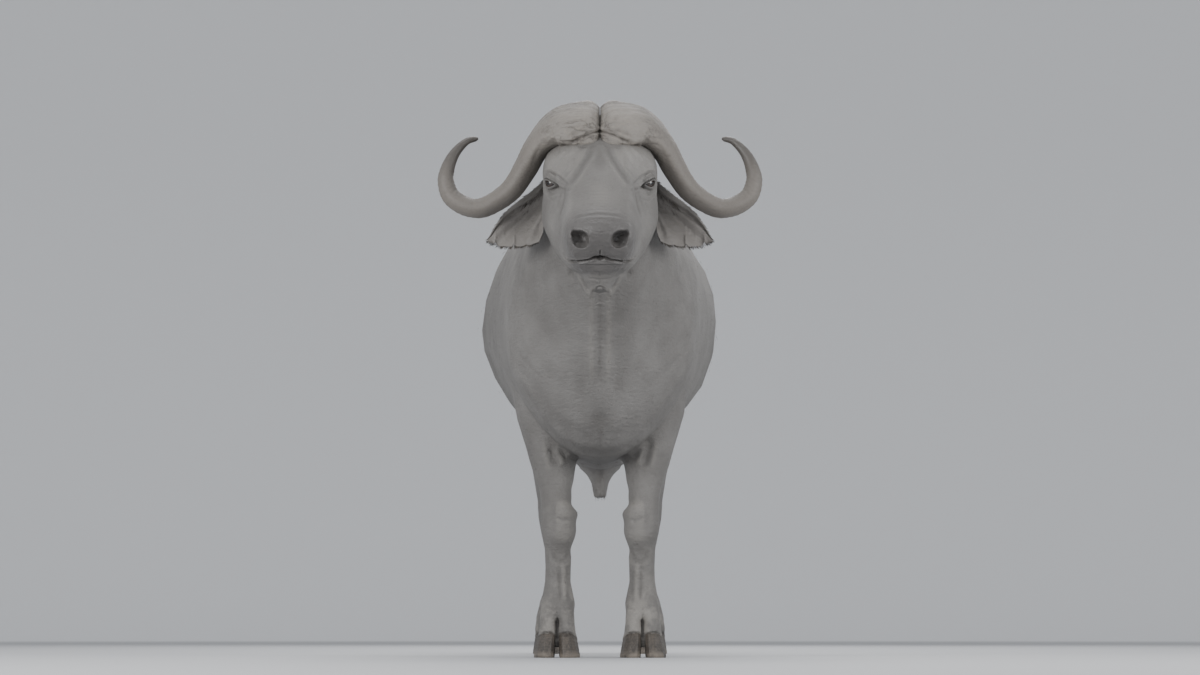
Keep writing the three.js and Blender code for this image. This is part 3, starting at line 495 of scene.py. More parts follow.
class Sculptor:
    """Moves the points of one mesh in code."""

    def __init__(self, piece: bpy.types.Object) -> None:
        """Reads the piece's points, edges and normals."""
        self.mesh = piece.data
        count = len(self.mesh.vertices)
        self.points = np.zeros(count * 3)
        self.mesh.vertices.foreach_get("co", self.points)
        self.points = self.points.reshape(-1, 3)
        edges = np.zeros(len(self.mesh.edges) * 2, int)
        self.mesh.edges.foreach_get("vertices", edges)
        self.edges = edges.reshape(-1, 2)
        self.carved = np.zeros(count)
        self.read_normals()

    def read_normals(self) -> None:
        """Writes the points and reads the normals that follow from them."""
        self.mesh.vertices.foreach_set("co", self.points.astype(np.float32).ravel())
        self.mesh.update()
        normals = np.zeros(len(self.points) * 3, np.float32)
        self.mesh.vertices.foreach_get("normal", normals)
        self.normals = normals.reshape(-1, 3).astype(float)

    def around(self, values: np.ndarray) -> np.ndarray:
        """The mean of each point's neighbours."""
        count = len(self.points)
        a, b = self.edges.T
        number = np.bincount(a, minlength=count) + np.bincount(b, minlength=count)
        columns = values.reshape(count, -1).T
        total = [np.bincount(a, c[b], count) + np.bincount(b, c[a], count) for c in columns]
        return (np.stack(total, 1) / np.maximum(number, 1)[:, None]).reshape(values.shape)

    def relax(self, weight: np.ndarray, rounds: int, back: float = 0.0) -> None:
        """Smooths the mesh.

        Args:
            weight: How much each point takes part, from 0 to 1.
            rounds: How often.
            back: The step back after each round that keeps the volume, or 0.
        """
        share = np.asarray(weight)[:, None] * 0.5
        for _ in range(rounds):
            self.points += share * (self.around(self.points) - self.points)
            if back:
                self.points -= share * 2 * back * (self.around(self.points) - self.points)
        self.read_normals()

    def push(self, amount: np.ndarray, seen: float = 1.0) -> None:
        """Moves points out along their normals and remembers how deep they were carved."""
        self.points += self.normals * amount[:, None]
        self.carved += amount * seen

    def carve(
        self,
        marks: Sequence[Stroke | Mound],
        flat: np.ndarray,
        mask: np.ndarray,
        seen: float = 1.0,
    ) -> None:
        """Carves strokes and mounds in one flat view.

        Args:
            marks: What is carved.
            flat: Each point's coordinates in the view.
            mask: How much each point takes part.
            seen: How much of the depth the finishes paint as shade in a fold and as a highlight on a rise.
        """
        chosen = np.nonzero(mask > 1e-3)[0]
        amount = np.zeros(len(self.points))
        for mark in marks:
            amount[chosen] += mark.height(flat[chosen])
        self.push(amount * mask, seen)
        self.read_normals()

    def keep_carving(self) -> None:
        """Writes the carved depth as an attribute of the mesh."""
        layer = self.mesh.attributes.new("carved", "FLOAT", "POINT")
        layer.data.foreach_set("value", self.carved.astype(np.float32))


@dataclass(frozen=True)
class Ring:
    """One ring of a graft.

    Attributes:
        scale: Its size in outlines.
        lift: Its height over the surface that it is set into.
        top: What its upper side is higher.
        low: What its lower side is higher.
        shift: How far it is moved to the right and up.
        hug: How far it follows the ball below and not the surface, from 0 to 1.
        swell: The power that top and low grow by from the sides.
    """

    scale: float
    lift: float = 0.0
    top: float = 0.0
    low: float = 0.0
    shift: Pair = (0.0, 0.0)
    hug: float = 0.0
    swell: float = 0.65

    def height(self, turn: float, rest: float, shell: float) -> float:
        """How far out a point of the ring lies.

        Args:
            turn: The point's turn round the graft.
            rest: Height of the surface there.
            shell: Height of the ball there.

        Returns:
            The height.
        """
        up = math.sin(turn)
        extra = self.top * max(0.0, up) ** self.swell + self.low * max(0.0, -up) ** self.swell
        return (1 - self.hug) * rest + self.hug * shell + self.lift + extra


@dataclass
class Graft:
    """A set of clean rings set into the skin: the lids round an eye, or a nostril's rim and inside."""

    centre: Vector
    right: Vector
    up: Vector
    out: Vector
    outline: Callable[[float], Pair]
    rings: Sequence[Ring]
    shell: Callable[[float], float] = lambda edge: 0.0
    # Height of the middle over the outermost ring where the surface below is not followed, or None
    dome: float | None = None
    around: int = 64
    cut: float = 1.1
    reach: float = 0.092
    deep: float = 0.07
    # The surface is looked for from this far off the plane, over this length
    search_from: float = 0.06
    search_length: float = 0.14
    clean_rounds: int = 8
    joint_rounds: int = 4

    def place(self, a: float, b: float, height: float) -> Vector:
        """A point a to the right, b up and height out of the centre."""
        return self.centre + self.right * a + self.up * b + self.out * height

    def scale_at(self, point: Vector) -> float:
        """How many outlines away from the centre a point lies."""
        rel = point - self.centre
        a, b = rel.dot(self.right), rel.dot(self.up)
        edge = self.outline(math.atan2(b, a))
        return math.hypot(a, b) / max(1e-6, math.hypot(*edge))

    def under(self, a: float, b: float, surface: BVHTree) -> float:
        """Height of the surface below a point of the graft's plane."""
        hit = surface.ray_cast(self.place(a, b, self.search_from), -self.out, self.search_length)[0]
        return (hit - self.centre).dot(self.out) if hit else 0.0

    def rest_heights(self, surface: BVHTree) -> list[list[float]]:
        """Height of the surface for every ring and turn."""
        turns = [2 * math.pi * k / self.around for k in range(self.around)]
        outer = self.rings[0].scale
        edge = [self.under(*(outer * c for c in self.outline(t)), surface) for t in turns]
        rows = []
        for ring in self.rings:
            if self.dome is None:
                row = [self.under(*(ring.scale * c for c in self.outline(t)), surface) for t in turns]
            else:
                share = ring.scale / outer
                middle = sum(edge) / len(edge) + self.dome
                row = [height * share + middle * (1 - share) for height in edge]
            rows.append(row)
        return rows

    def set_into(self, bm: bmesh.types.BMesh, surface: BVHTree) -> None:
        """Cuts the skin and joins the rings to the cut.

        Args:
            bm: The skin.
            surface: The skin before any cut, which the outer rings lie on.
        """
        widest = self.rings[0].scale * self.cut
        near = [v for v in bm.verts if (v.co - self.centre).length < self.reach]
        shallow = [v for v in near if (v.co - self.centre).dot(self.out) > -self.deep]
        inside = {v for v in shallow if self.scale_at(v.co) < widest}
        gone = {f for v in inside for f in v.link_faces if all(w in inside for w in f.verts)}
        bmesh.ops.delete(bm, geom=list(gone), context="FACES")
        for _ in range(self.clean_rounds):
            pinched = [v for v in bm.verts if v.is_boundary and sum(e.is_boundary for e in v.link_edges) > 2]
            bmesh.ops.delete(bm, geom=list({f for v in pinched for f in v.link_faces}), context="FACES")
        borders = [e for e in bm.edges if e.is_boundary]
        rim = self.longest([e for e in borders if (e.verts[0].co - self.centre).length < self.reach])
        layer = bm.verts.layers.int.new("graft")
        verts, edges = first_ring(bm, self.around, layer)
        first = edges
        joint = verts + list({v for e in rim for v in e.verts})
        for ring, row in zip(self.rings, self.rest_heights(surface)):
            if ring is not self.rings[0]:
                verts, edges = next_ring(bm, edges)
            for vert in verts:
                turn = 2 * math.pi * vert[layer] / self.around
                a, b = (ring.scale * c + d for c, d in zip(self.outline(turn), ring.shift))
                height = ring.height(turn, row[vert[layer]], self.shell(math.hypot(a, b)))
                vert.co = self.place(a, b, height)
        bmesh.ops.contextual_create(bm, geom=edges)
        bmesh.ops.bridge_loops(bm, edges=rim + first)
        axes = {f"use_axis_{name}": True for name in "xyz"}
        for _ in range(self.joint_rounds):
            bmesh.ops.smooth_vert(bm, verts=joint, factor=0.5, **axes)
        bm.verts.layers.int.remove(layer)

    @staticmethod
    def longest(edges: Sequence[bmesh.types.BMEdge]) -> list[bmesh.types.BMEdge]:
        """The longest of the loops that the edges form."""
        left, loops = set(edges), []
        while left:
            loop = [left.pop()]
            for edge in loop:
                for vert in edge.verts:
                    for other in vert.link_edges:
                        if other in left:
                            left.discard(other)
                            loop.append(other)
            loops.append(loop)
        return max(loops, key=len)


@dataclass
class Eye:
    """One eyeball and the frame that its lids follow."""

    side: int
    radius: float = EYE_RADIUS
    gaze: Point = (0.68, 0.66, 0.3)
    # Which way the opening runs down to its inner corner, on the bull's left
    inward: Point = (-0.72, -0.62, -0.31)
    half_long: float = 0.0134
    half_upper: float = 0.0078
    half_lower: float = 0.0100
    lid: float = 0.0040
    # The clear front: how wide it is and its share of the radius
    clear: float = 0.011
    clear_rise: float = 0.025

    def __post_init__(self) -> None:
        """Works out the eye's centre and its three directions."""
        x, h, n = self.gaze
        self.centre = head_point(self.side * EYE_PLACE[0], *EYE_PLACE[1:])
        self.out = (Vector((self.side * x, 0, 0)) + HEAD_AXIS * h + HEAD_UP * n).normalized()
        inward = Vector((self.side * self.inward[0], *self.inward[1:]))
        self.along = (inward - self.out * inward.dot(self.out)).normalized()
        self.up = self.out.cross(self.along).normalized()
        if self.up.z < 0:
            self.up.negate()

    def outline(self, turn: float) -> Pair:
        """The edge of the opening, a soft almond with its corner towards the nose."""
        high = self.half_upper if math.sin(turn) > 0 else self.half_lower
        corner = 1 + 0.34 * max(0.0, math.cos(turn)) ** 10
        return self.half_long * corner * math.cos(turn), high * math.sin(turn)

    def shell(self, edge: float) -> float:
        """Height of the eyeball at a distance from its axis."""
        return math.sqrt(max(1e-8, self.radius**2 - edge**2))

    def lids(self) -> Graft:
        """The rings that make both lids, from the skin in to the ball."""
        lid = self.lid
        rings = [
            Ring(2.9),
            Ring(2.65, 0.0006, 0.0020),
            Ring(2.45, 0.0010, 0.0050, 0.0006, hug=0.05),
            Ring(2.28, 0.0014, 0.0072, 0.0014, hug=0.15),
            Ring(2.14, 0.0014, 0.0070, 0.0018, hug=0.27),
            Ring(2.03, 0.0010, 0.0040, 0.0008, hug=0.40),
            Ring(1.95, 0.0004, 0.0004, -0.0010, hug=0.50),
            Ring(1.87, 0.0002, -0.0012, -0.0018, hug=0.60),
            Ring(1.78, 0.0008, 0.0000, -0.0006, hug=0.72),
            Ring(1.66, 0.0024, 0.0018, 0.0006, hug=0.86),
            Ring(1.52, lid, 0.0030, 0.0010, hug=0.96),
            Ring(1.38, lid, 0.0038, 0.0012, hug=1),
            Ring(1.25, lid, 0.0040, 0.0010, hug=1),
            Ring(1.14, lid * 0.94, 0.0034, 0.0006, hug=1),
            Ring(1.06, lid * 0.70, 0.0020, hug=1),
            Ring(1.02, lid * 0.40, 0.0008, hug=1),
            Ring(1.0, 0.0006, 0.0002, hug=1),
            Ring(0.97, -0.0014, hug=1),
            Ring(0.82, -0.0042, hug=1),
            Ring(0.5, -0.0065, hug=1),
        ]
        axes = (self.along, self.up, self.out)
        return Graft(self.centre, *axes, self.outline, rings, self.shell, around=72)

    def build(self) -> bpy.types.Object:
        """The eyeball, with its clear front slightly raised."""
        bm = bmesh.new()
        bmesh.ops.create_uvsphere(bm, u_segments=48, v_segments=32, radius=self.radius)
        turn = self.out.to_track_quat("Z", "Y").to_matrix().to_4x4()
        for vert in bm.verts:
            lift = math.exp(-((vert.co.xy.length / self.clear) ** 2)) if vert.co.z > 0 else 0.0
            vert.co *= 1 + self.clear_rise * lift
        bmesh.ops.transform(bm, matrix=Matrix.Translation(self.centre) @ turn, verts=bm.verts)
        return new_piece(f"eyeball_{side_name(self.side)}", bm)


@dataclass
class Nostril:
    """One nostril: a comma-shaped opening with a rolled rim and a dark inside."""

    side: int
    across: float = 18.8
    down: float = 239.4
    half_wide: float = 0.0250
    half_tall: float = 0.0224
    out: Point = (0.30, -1.0, 0.10)

    def outline(self, turn: float) -> Pair:
        """The opening's edge, with its tail up and outwards."""
        round_ = turn % (2 * math.pi)
        tail = 1 + 0.40 * bell(round_ - math.radians(46), 0.30)
        flat = 1 - 0.14 * bell(round_ - math.radians(112), 0.7)
        return self.half_wide * tail * flat * math.cos(turn), self.half_tall * tail * flat * math.sin(turn)

    def rim(self, surface: BVHTree) -> Graft:
        """The rings from the skin over the rim and into the nose.

        Args:
            surface: The skin before it is cut.

        Returns:
            The graft.
        """
        out = Vector((self.out[0] * self.side, self.out[1], self.out[2])).normalized()
        right = (Vector((self.side, 0, 0)) - out * out.x * self.side).normalized()
        up = out.cross(right).normalized()
        if up.z < 0:
            up.negate()
        start, way = VIEW.ray(self.side * self.across, self.down)
        hit = surface.ray_cast(start, way)[0]
        # The solid's own hollow may lie there, so the plane is taken from the skin round it
        starts = [hit + right * a + up * b + out * 0.1 for a, b in self.round_points()]
        rims = [surface.ray_cast(start, -out)[0] for start in starts]
        mean = sum((r - hit).dot(out) for r in rims if r) / len(rims)
        centre = hit + way * (mean / way.dot(out))
        rings = [
            Ring(1.62),
            Ring(1.5, 0.0004, 0.0010),
            Ring(1.38, 0.0012, 0.0024, 0.0002),
            Ring(1.28, 0.0022, 0.0040, 0.0006),
            Ring(1.17, 0.0030, 0.0050, 0.0008),
            Ring(1.08, 0.0030, 0.0046, 0.0006),
            Ring(1.02, 0.0018, 0.0030),
            Ring(0.98, -0.0004, 0.0006, shift=(0, 0.0002)),
            Ring(0.94, -0.0036, -0.0014, shift=(-0.0002, 0.0014)),
            Ring(0.86, -0.0072, -0.0024, shift=(-0.0006, 0.0034)),
            Ring(0.75, -0.0110, -0.0034, shift=(-0.0010, 0.0056)),
            Ring(0.62, -0.0155, -0.0040, shift=(-0.0012, 0.0074)),
            Ring(0.48, -0.0215, -0.0040, shift=(-0.0012, 0.0084)),
            Ring(0.30, -0.0300, -0.0030, shift=(-0.0012, 0.0090)),
        ]
        return Graft(centre, right, up, out, self.outline, rings, dome=0.002, reach=0.1)

    def round_points(self) -> list[Pair]:
        """Eight places just outside the opening, in its own plane."""
        return [(1.7 * a, 1.7 * b) for a, b in (self.outline(k * math.pi / 4) for k in range(8))]


FLESH = (
    ["torso", "neck", "sheath", "head", "lower_jaw", "tail_dock"]
    + [f"foreleg_{s}_{p}" for s in ("left", "right") for p in ("forearm", "knee_and_cannon", "pastern")]
    + [f"hind_leg_{s}_{p}" for s in ("left", "right") for p in ("thigh", "hock_and_cannon", "pastern")]
)
FEET = [
    f"{leg}_{s}_{p}_{w}"
    for leg in ("foreleg", "hind_leg")
    for s in ("left", "right")
    for p in ("claw", "dewclaw")
    for w in ("outer", "inner")
]

# Creases and swellings of the face, in the photograph's points: out from the middle line and down
FACE = [
    Mound((38, 160), (14, 10), 0.0105, 38),
    Mound((26, 157), (8, 8), 0.0045),
    Mound((0, 158), (8, 14), -0.0050),
    Stroke([(7, 147), (11.5, 156), (17, 165), (24, 175.5), (32, 185.5)], 2.4, 0.0050, 0.5, 0.12),
    Mound((0, 196), (15, 20), 0.0025),
    Stroke([(21, 152), (27, 161), (35, 171)], 1.4, 0.0026),
    Stroke([(28, 150), (34, 159), (42, 168)], 1.4, 0.0024),
    Stroke([(36, 149), (41, 157), (47, 165)], 1.4, 0.0018),
    Stroke([(24, 166), (30, 173), (36, 180)], 1.2, 0.0020),
    Stroke([(56.5, 175), (52.1, 175.2), (43.8, 179.2), (34.6, 186.6)], 1.1, 0.0040, 0.7, 0.2),
    Stroke([(57, 172.4), (48.7, 172.4), (40.4, 177), (31, 186.6)], 1.2, 0.0036, 0.7, 0.2),
    Stroke([(45, 187), (38, 188.6), (29, 190.5)], 1.1, 0.0036, 0.6),
    Stroke([(54, 191.5), (48, 194.5), (42, 191.5)], 1.0, 0.0026, 0.5),
    Stroke([(53, 197), (47, 199.5), (40, 195)], 1.0, 0.0018, 0.4),
    Stroke([(39, 192), (42, 202), (46, 213)], 1.2, 0.0022),
    Stroke([(34, 191), (37, 203), (42, 216)], 1.4, 0.0024),
    Stroke([(44, 198), (47, 206), (50, 214)], 1.1, 0.0016),
    Mound((37, 206), (5.5, 18), -0.0042, -14),
    Mound((30, 205), (4.5, 16), 0.0020, -10),
    Mound((47, 222), (6, 22), 0.0025, -6),
    Stroke([(27, 220), (20, 216.5), (10, 215.2), (0, 214.6), (-12, 215)], 1.1, 0.0026, 0.5, 0.12),
    Stroke([(24, 222), (28, 223.5), (31, 229)], 1.4, 0.0020),
    Mound((0, 232), (8, 11), -0.0026),
    Mound((0, 247), (13, 6), 0.0018),
    Stroke([(0, 249.5), (0, 255)], 0.8, 0.0030, 0.5),
    Stroke(
        [(-8, 259.6), (0, 256.4), (5, 258.5), (11, 260.2), (19, 261.3), (28, 261.9)],
        0.85, 0.0120, 0.10, 0.2,
    ),
    Mound((0, 258.4), (6.0, 1.7), -0.0220),
    Stroke([(-8, 263.4), (0, 263.4), (14, 263.4), (23, 263.0)], 0.8, -0.0016, 0.3, 0.15),
    Stroke([(11, 233.6), (0, 234.3), (-6, 234.3)], 0.8, -0.0014, 0.5, 0.1),
    Stroke([(-6, 141.5), (0, 142), (10, 147.6), (18, 147.2), (24, 146)], 1.1, 0.0026, 0.1, 0.15),
    Stroke([(30.5, 262), (33, 260.3), (35.5, 263)], 1.0, 0.0026, 0.4),
    Stroke([(26, 263.5), (20, 271.5), (13, 277.6), (0, 278.8), (-6, 278.8)], 1.3, 0.0012, 0.4, 0.12),
    Stroke([(0, 271.5), (0, 277)], 0.8, 0.0012),
    Mound((29.7, 274), (3.0, 4.0), -0.0070),
    Stroke([(33, 266), (29.6, 274), (27.5, 281)], 1.3, 0.0024),
    Mound((0, 269.5), (17, 4.0), 0.0026),
    Mound((0, 276.5), (13, 3.6), 0.0035),
    Stroke([(0, 280), (0, 286)], 0.9, 0.0014),
    Stroke([(0, 286.6), (3.2, 288), (3.6, 291), (0, 292.6)], 0.9, 0.0022, 0.6, 0),
    Stroke([(22.5, 274), (17, 284), (11, 295)], 1.6, -0.0034, 0.3),
    Mound((8.5, 291.5), (3.5, 4), 0.0060),
]
FACE += [Stroke([(13 - 0.3 * i, 196 + 2.9 * i), (-13, 195 + 3.0 * i)], 0.85, 0.0006, 0.5) for i in range(6)]

# Folds of the throat, chest and sheath, in the same points
CHEST = [
    Stroke([(0, 284), (0, 335), (0, 384)], 3.4, 0.0036, 0.4, 0.15),
    Stroke([(9.6, 284), (10, 335), (9.0, 388)], 3.6, -0.0020, 0.2, 0.25),
    Stroke([(16, 300), (18, 350), (17, 388), (13, 410)], 6.5, 0.0015, 0.2, 0.35),
    Mound((18, 384), (5, 8), -0.0016),
    Mound((0, 423), (9, 11), -0.0070),
    Stroke([(0, 424), (0, 456)], 1.6, 0.0026),
    Stroke([(82, 249), (82.5, 262), (81, 277)], 4.0, 0.0050),
    Stroke([(97, 300), (95, 337), (70, 366), (44, 391)], 2.4, 0.0024, 0.5),
    Stroke([(109, 322), (103, 356), (78, 386), (50, 430)], 2.8, 0.0032, 0.5),
    Stroke([(38, 292), (33, 330), (26, 372), (20, 410)], 7, 0.0022, 0.3),
    Stroke([(56, 284), (55, 320), (47, 356)], 8, 0.0022, 0.3),
    Stroke([(50, 438), (48.5, 448), (43.8, 470)], 3.0, 0.011, 0.4),
    Stroke([(49, 438), (42, 447), (31, 462)], 2.0, 0.0065, 0.4),
    Stroke([(27, 456), (14, 459.5), (0, 460.5), (-6, 460.5)], 2.4, 0.008, 0.4, 0.1),
    Stroke([(0, 466), (0, 492)], 1.6, 0.0035, 0.5, 0.15),
]
CHEST += [
    Stroke([(5, v + 0.8), (1, v), (-3, v)], 0.8, -0.0019, 0.5, 0.2)
    for v in (304, 313, 320, 326, 329.5, 337, 346, 356, 359.5, 366, 373, 378, 385)
]

# Knees, tendons, fetlocks and toes of the forelegs, in the same points
SHINS = [
    Mound((37, 509.5), (7, 7), 0.0105, -25),
    Mound((37, 532), (9.5, 13), 0.0045),
    Stroke([(45, 515), (37.5, 520), (29, 518)], 1.3, 0.0044, 0.5),
    Stroke([(43.5, 526), (36.5, 528.8), (28, 526)], 1.1, 0.0020, 0.5),
    Stroke([(43, 533.5), (36.5, 536), (28.5, 533.5)], 1.1, 0.0016, 0.5),
    Mound((40, 554), (7.5, 7), -0.0080),
    Stroke(
        [(50, 547), (46.7, 558.5), (41, 562.6), (35.5, 561), (32, 556), (30.5, 547)],
        1.5, 0.0046, 0.6, 0.3,
    ),
    Mound((39, 571), (8, 6), 0.0022),
    Mound((30, 563), (3.4, 6), 0.0022),
    Stroke([(45, 500), (47, 516), (46, 532)], 2.0, 0.0030, 0.4),
    Stroke([(36.9, 564), (36.4, 580), (35.0, 602)], 1.9, -0.0055, 0.5, 0.2),
    Stroke([(41.6, 566), (41.0, 582), (40.0, 602)], 1.8, 0.0048, 0.3, 0.2),
    Stroke([(46, 566), (46, 582), (47, 600)], 2.0, 0.0020, 0.3, 0.2),
    Stroke([(46, 592), (44, 602), (42.4, 611)], 1.2, 0.0018, 0.5),
    Stroke([(27, 606.5), (33, 609.6), (38.5, 608.4)], 1.1, 0.0040, 0.8),
    Stroke([(41.5, 608.6), (46.5, 609.8), (54, 606)], 1.1, 0.0040, 0.8),
    Stroke([(29, 612), (33, 613.8), (38, 612.8)], 0.9, 0.0014, 0.5),
    Mound((35, 618), (4, 8), 0.0028),
    Mound((48, 618), (4.5, 8), 0.0028),
    Stroke([(42.0, 606), (42.1, 617), (42.2, 626)], 1.1, 0.0036, 0.2, 0.2),
    Stroke([(42.2, 622), (42.4, 628), (42.6, 638)], 1.4, 0.0070, 0.3, 0.3),
]

# Bone and joint that show in the forelegs' outline, in the same points
KNEES = [
    Mound((23.5, 514.5), (4.5, 5.5), 0.0058),
    Mound((24.5, 532), (4.5, 8), 0.0042),
    Mound((26.5, 504.5), (4, 4), -0.0030),
    Mound((28.5, 550), (5, 6), -0.0030),
    Mound((54, 516), (5, 10), 0.0030),
    Mound((26, 604), (5, 8), 0.0024),
    Mound((54, 604), (5, 8), 0.0030),
]

# The trunk's forms as seen from the side: y towards the rump, z up
FLANK = [
    Mound((-0.28, 1.16), (0.07, 0.22), 0.008, -14),
    Mound((0.35, 1.0), (0.42, 0.22), 0.0085),
    Stroke([(-0.36, 1.42), (-0.22, 1.22), (-0.30, 1.0), (-0.40, 0.9)], 0.06, 0.005, 0.1),
    Stroke([(-0.16, 1.36), (-0.06, 1.16), (-0.12, 0.96)], 0.06, 0.004, 0.1),
    Mound((-0.2, 0.92), (0.1, 0.08), 0.012),
    Stroke([(-0.02, 0.84), (-0.1, 0.76), (-0.2, 0.72)], 0.02, 0.014, 0.35),
    Mound((0.72, 1.2), (0.10, 0.11), -0.030),
    Mound((0.86, 1.32), (0.07, 0.06), 0.022),
    Stroke([(0.60, 0.68), (0.70, 0.82), (0.74, 0.96)], 0.03, 0.020, 0.3),
    Mound((1.1, 1.1), (0.12, 0.16), 0.010),
    Stroke([(1.12, 1.2), (1.1, 1.0), (1.02, 0.82)], 0.035, 0.013, 0.3),
    Mound((1.2, 1.26), (0.06, 0.05), 0.012),
]
# The ribs
FLANK += [
    Stroke([(0.06 + 0.095 * i, 1.26), (0.1 + 0.1 * i, 1.08), (0.03 + 0.1 * i, 0.86)], 0.026, 0.0022, 0.2)
    for i in range(7)
]
NECK_FOLDS = [
    Stroke([(-0.74 + 0.07 * i, 1.36), (-0.66 + 0.07 * i, 1.2), (-0.66 + 0.06 * i, 1.02)], 0.016, 0.0014, 0.3)
    for i in range(5)
]


@dataclass(frozen=True)
class Coronet:
    """The sloping line round one foot where the skin ends on the claws' horn."""

    front: float
    middle: float
    top: float = 0.079
    slope: float = 0.46
    reach: float = 0.16
    lip: float = 0.0035
    # The height that the foot is cut up to, and how near the cut an old point takes it over
    foot_top: float = 0.12
    snap: float = 0.0004

    def height(self, points: np.ndarray) -> np.ndarray:
        """How far points lie above the line, and a large value on other feet."""
        line = self.top - self.slope * np.maximum(points[:, 1] - self.front, 0.0)
        beside = np.abs(np.abs(points[:, 0]) - self.middle)
        here = np.maximum(np.abs(points[:, 1] - self.front), beside) < self.reach
        return np.where(here, points[:, 2] - line, 1.0)

    def cut(self, bm: bmesh.types.BMesh) -> None:
        """Cuts clean edges along the line and just below it."""
        way = Vector((0, self.slope, 1)).normalized()
        for drop in (0.0, self.lip):
            low = [v for v in bm.verts if v.co.z < self.foot_top and abs(v.co.y - self.front) < self.reach]
            near = [v for v in low if abs(abs(v.co.x) - self.middle) < self.reach]
            faces = {f for v in near for f in v.link_faces}
            geom = list(faces | {e for f in faces for e in f.edges} | {v for f in faces for v in f.verts})
            place = (0, self.front, self.top - drop)
            bmesh.ops.bisect_plane(bm, geom=geom, dist=self.snap, plane_co=place, plane_no=way)


CORONETS = (Coronet(-0.413, 0.130), Coronet(1.018, 0.178, top=0.085))


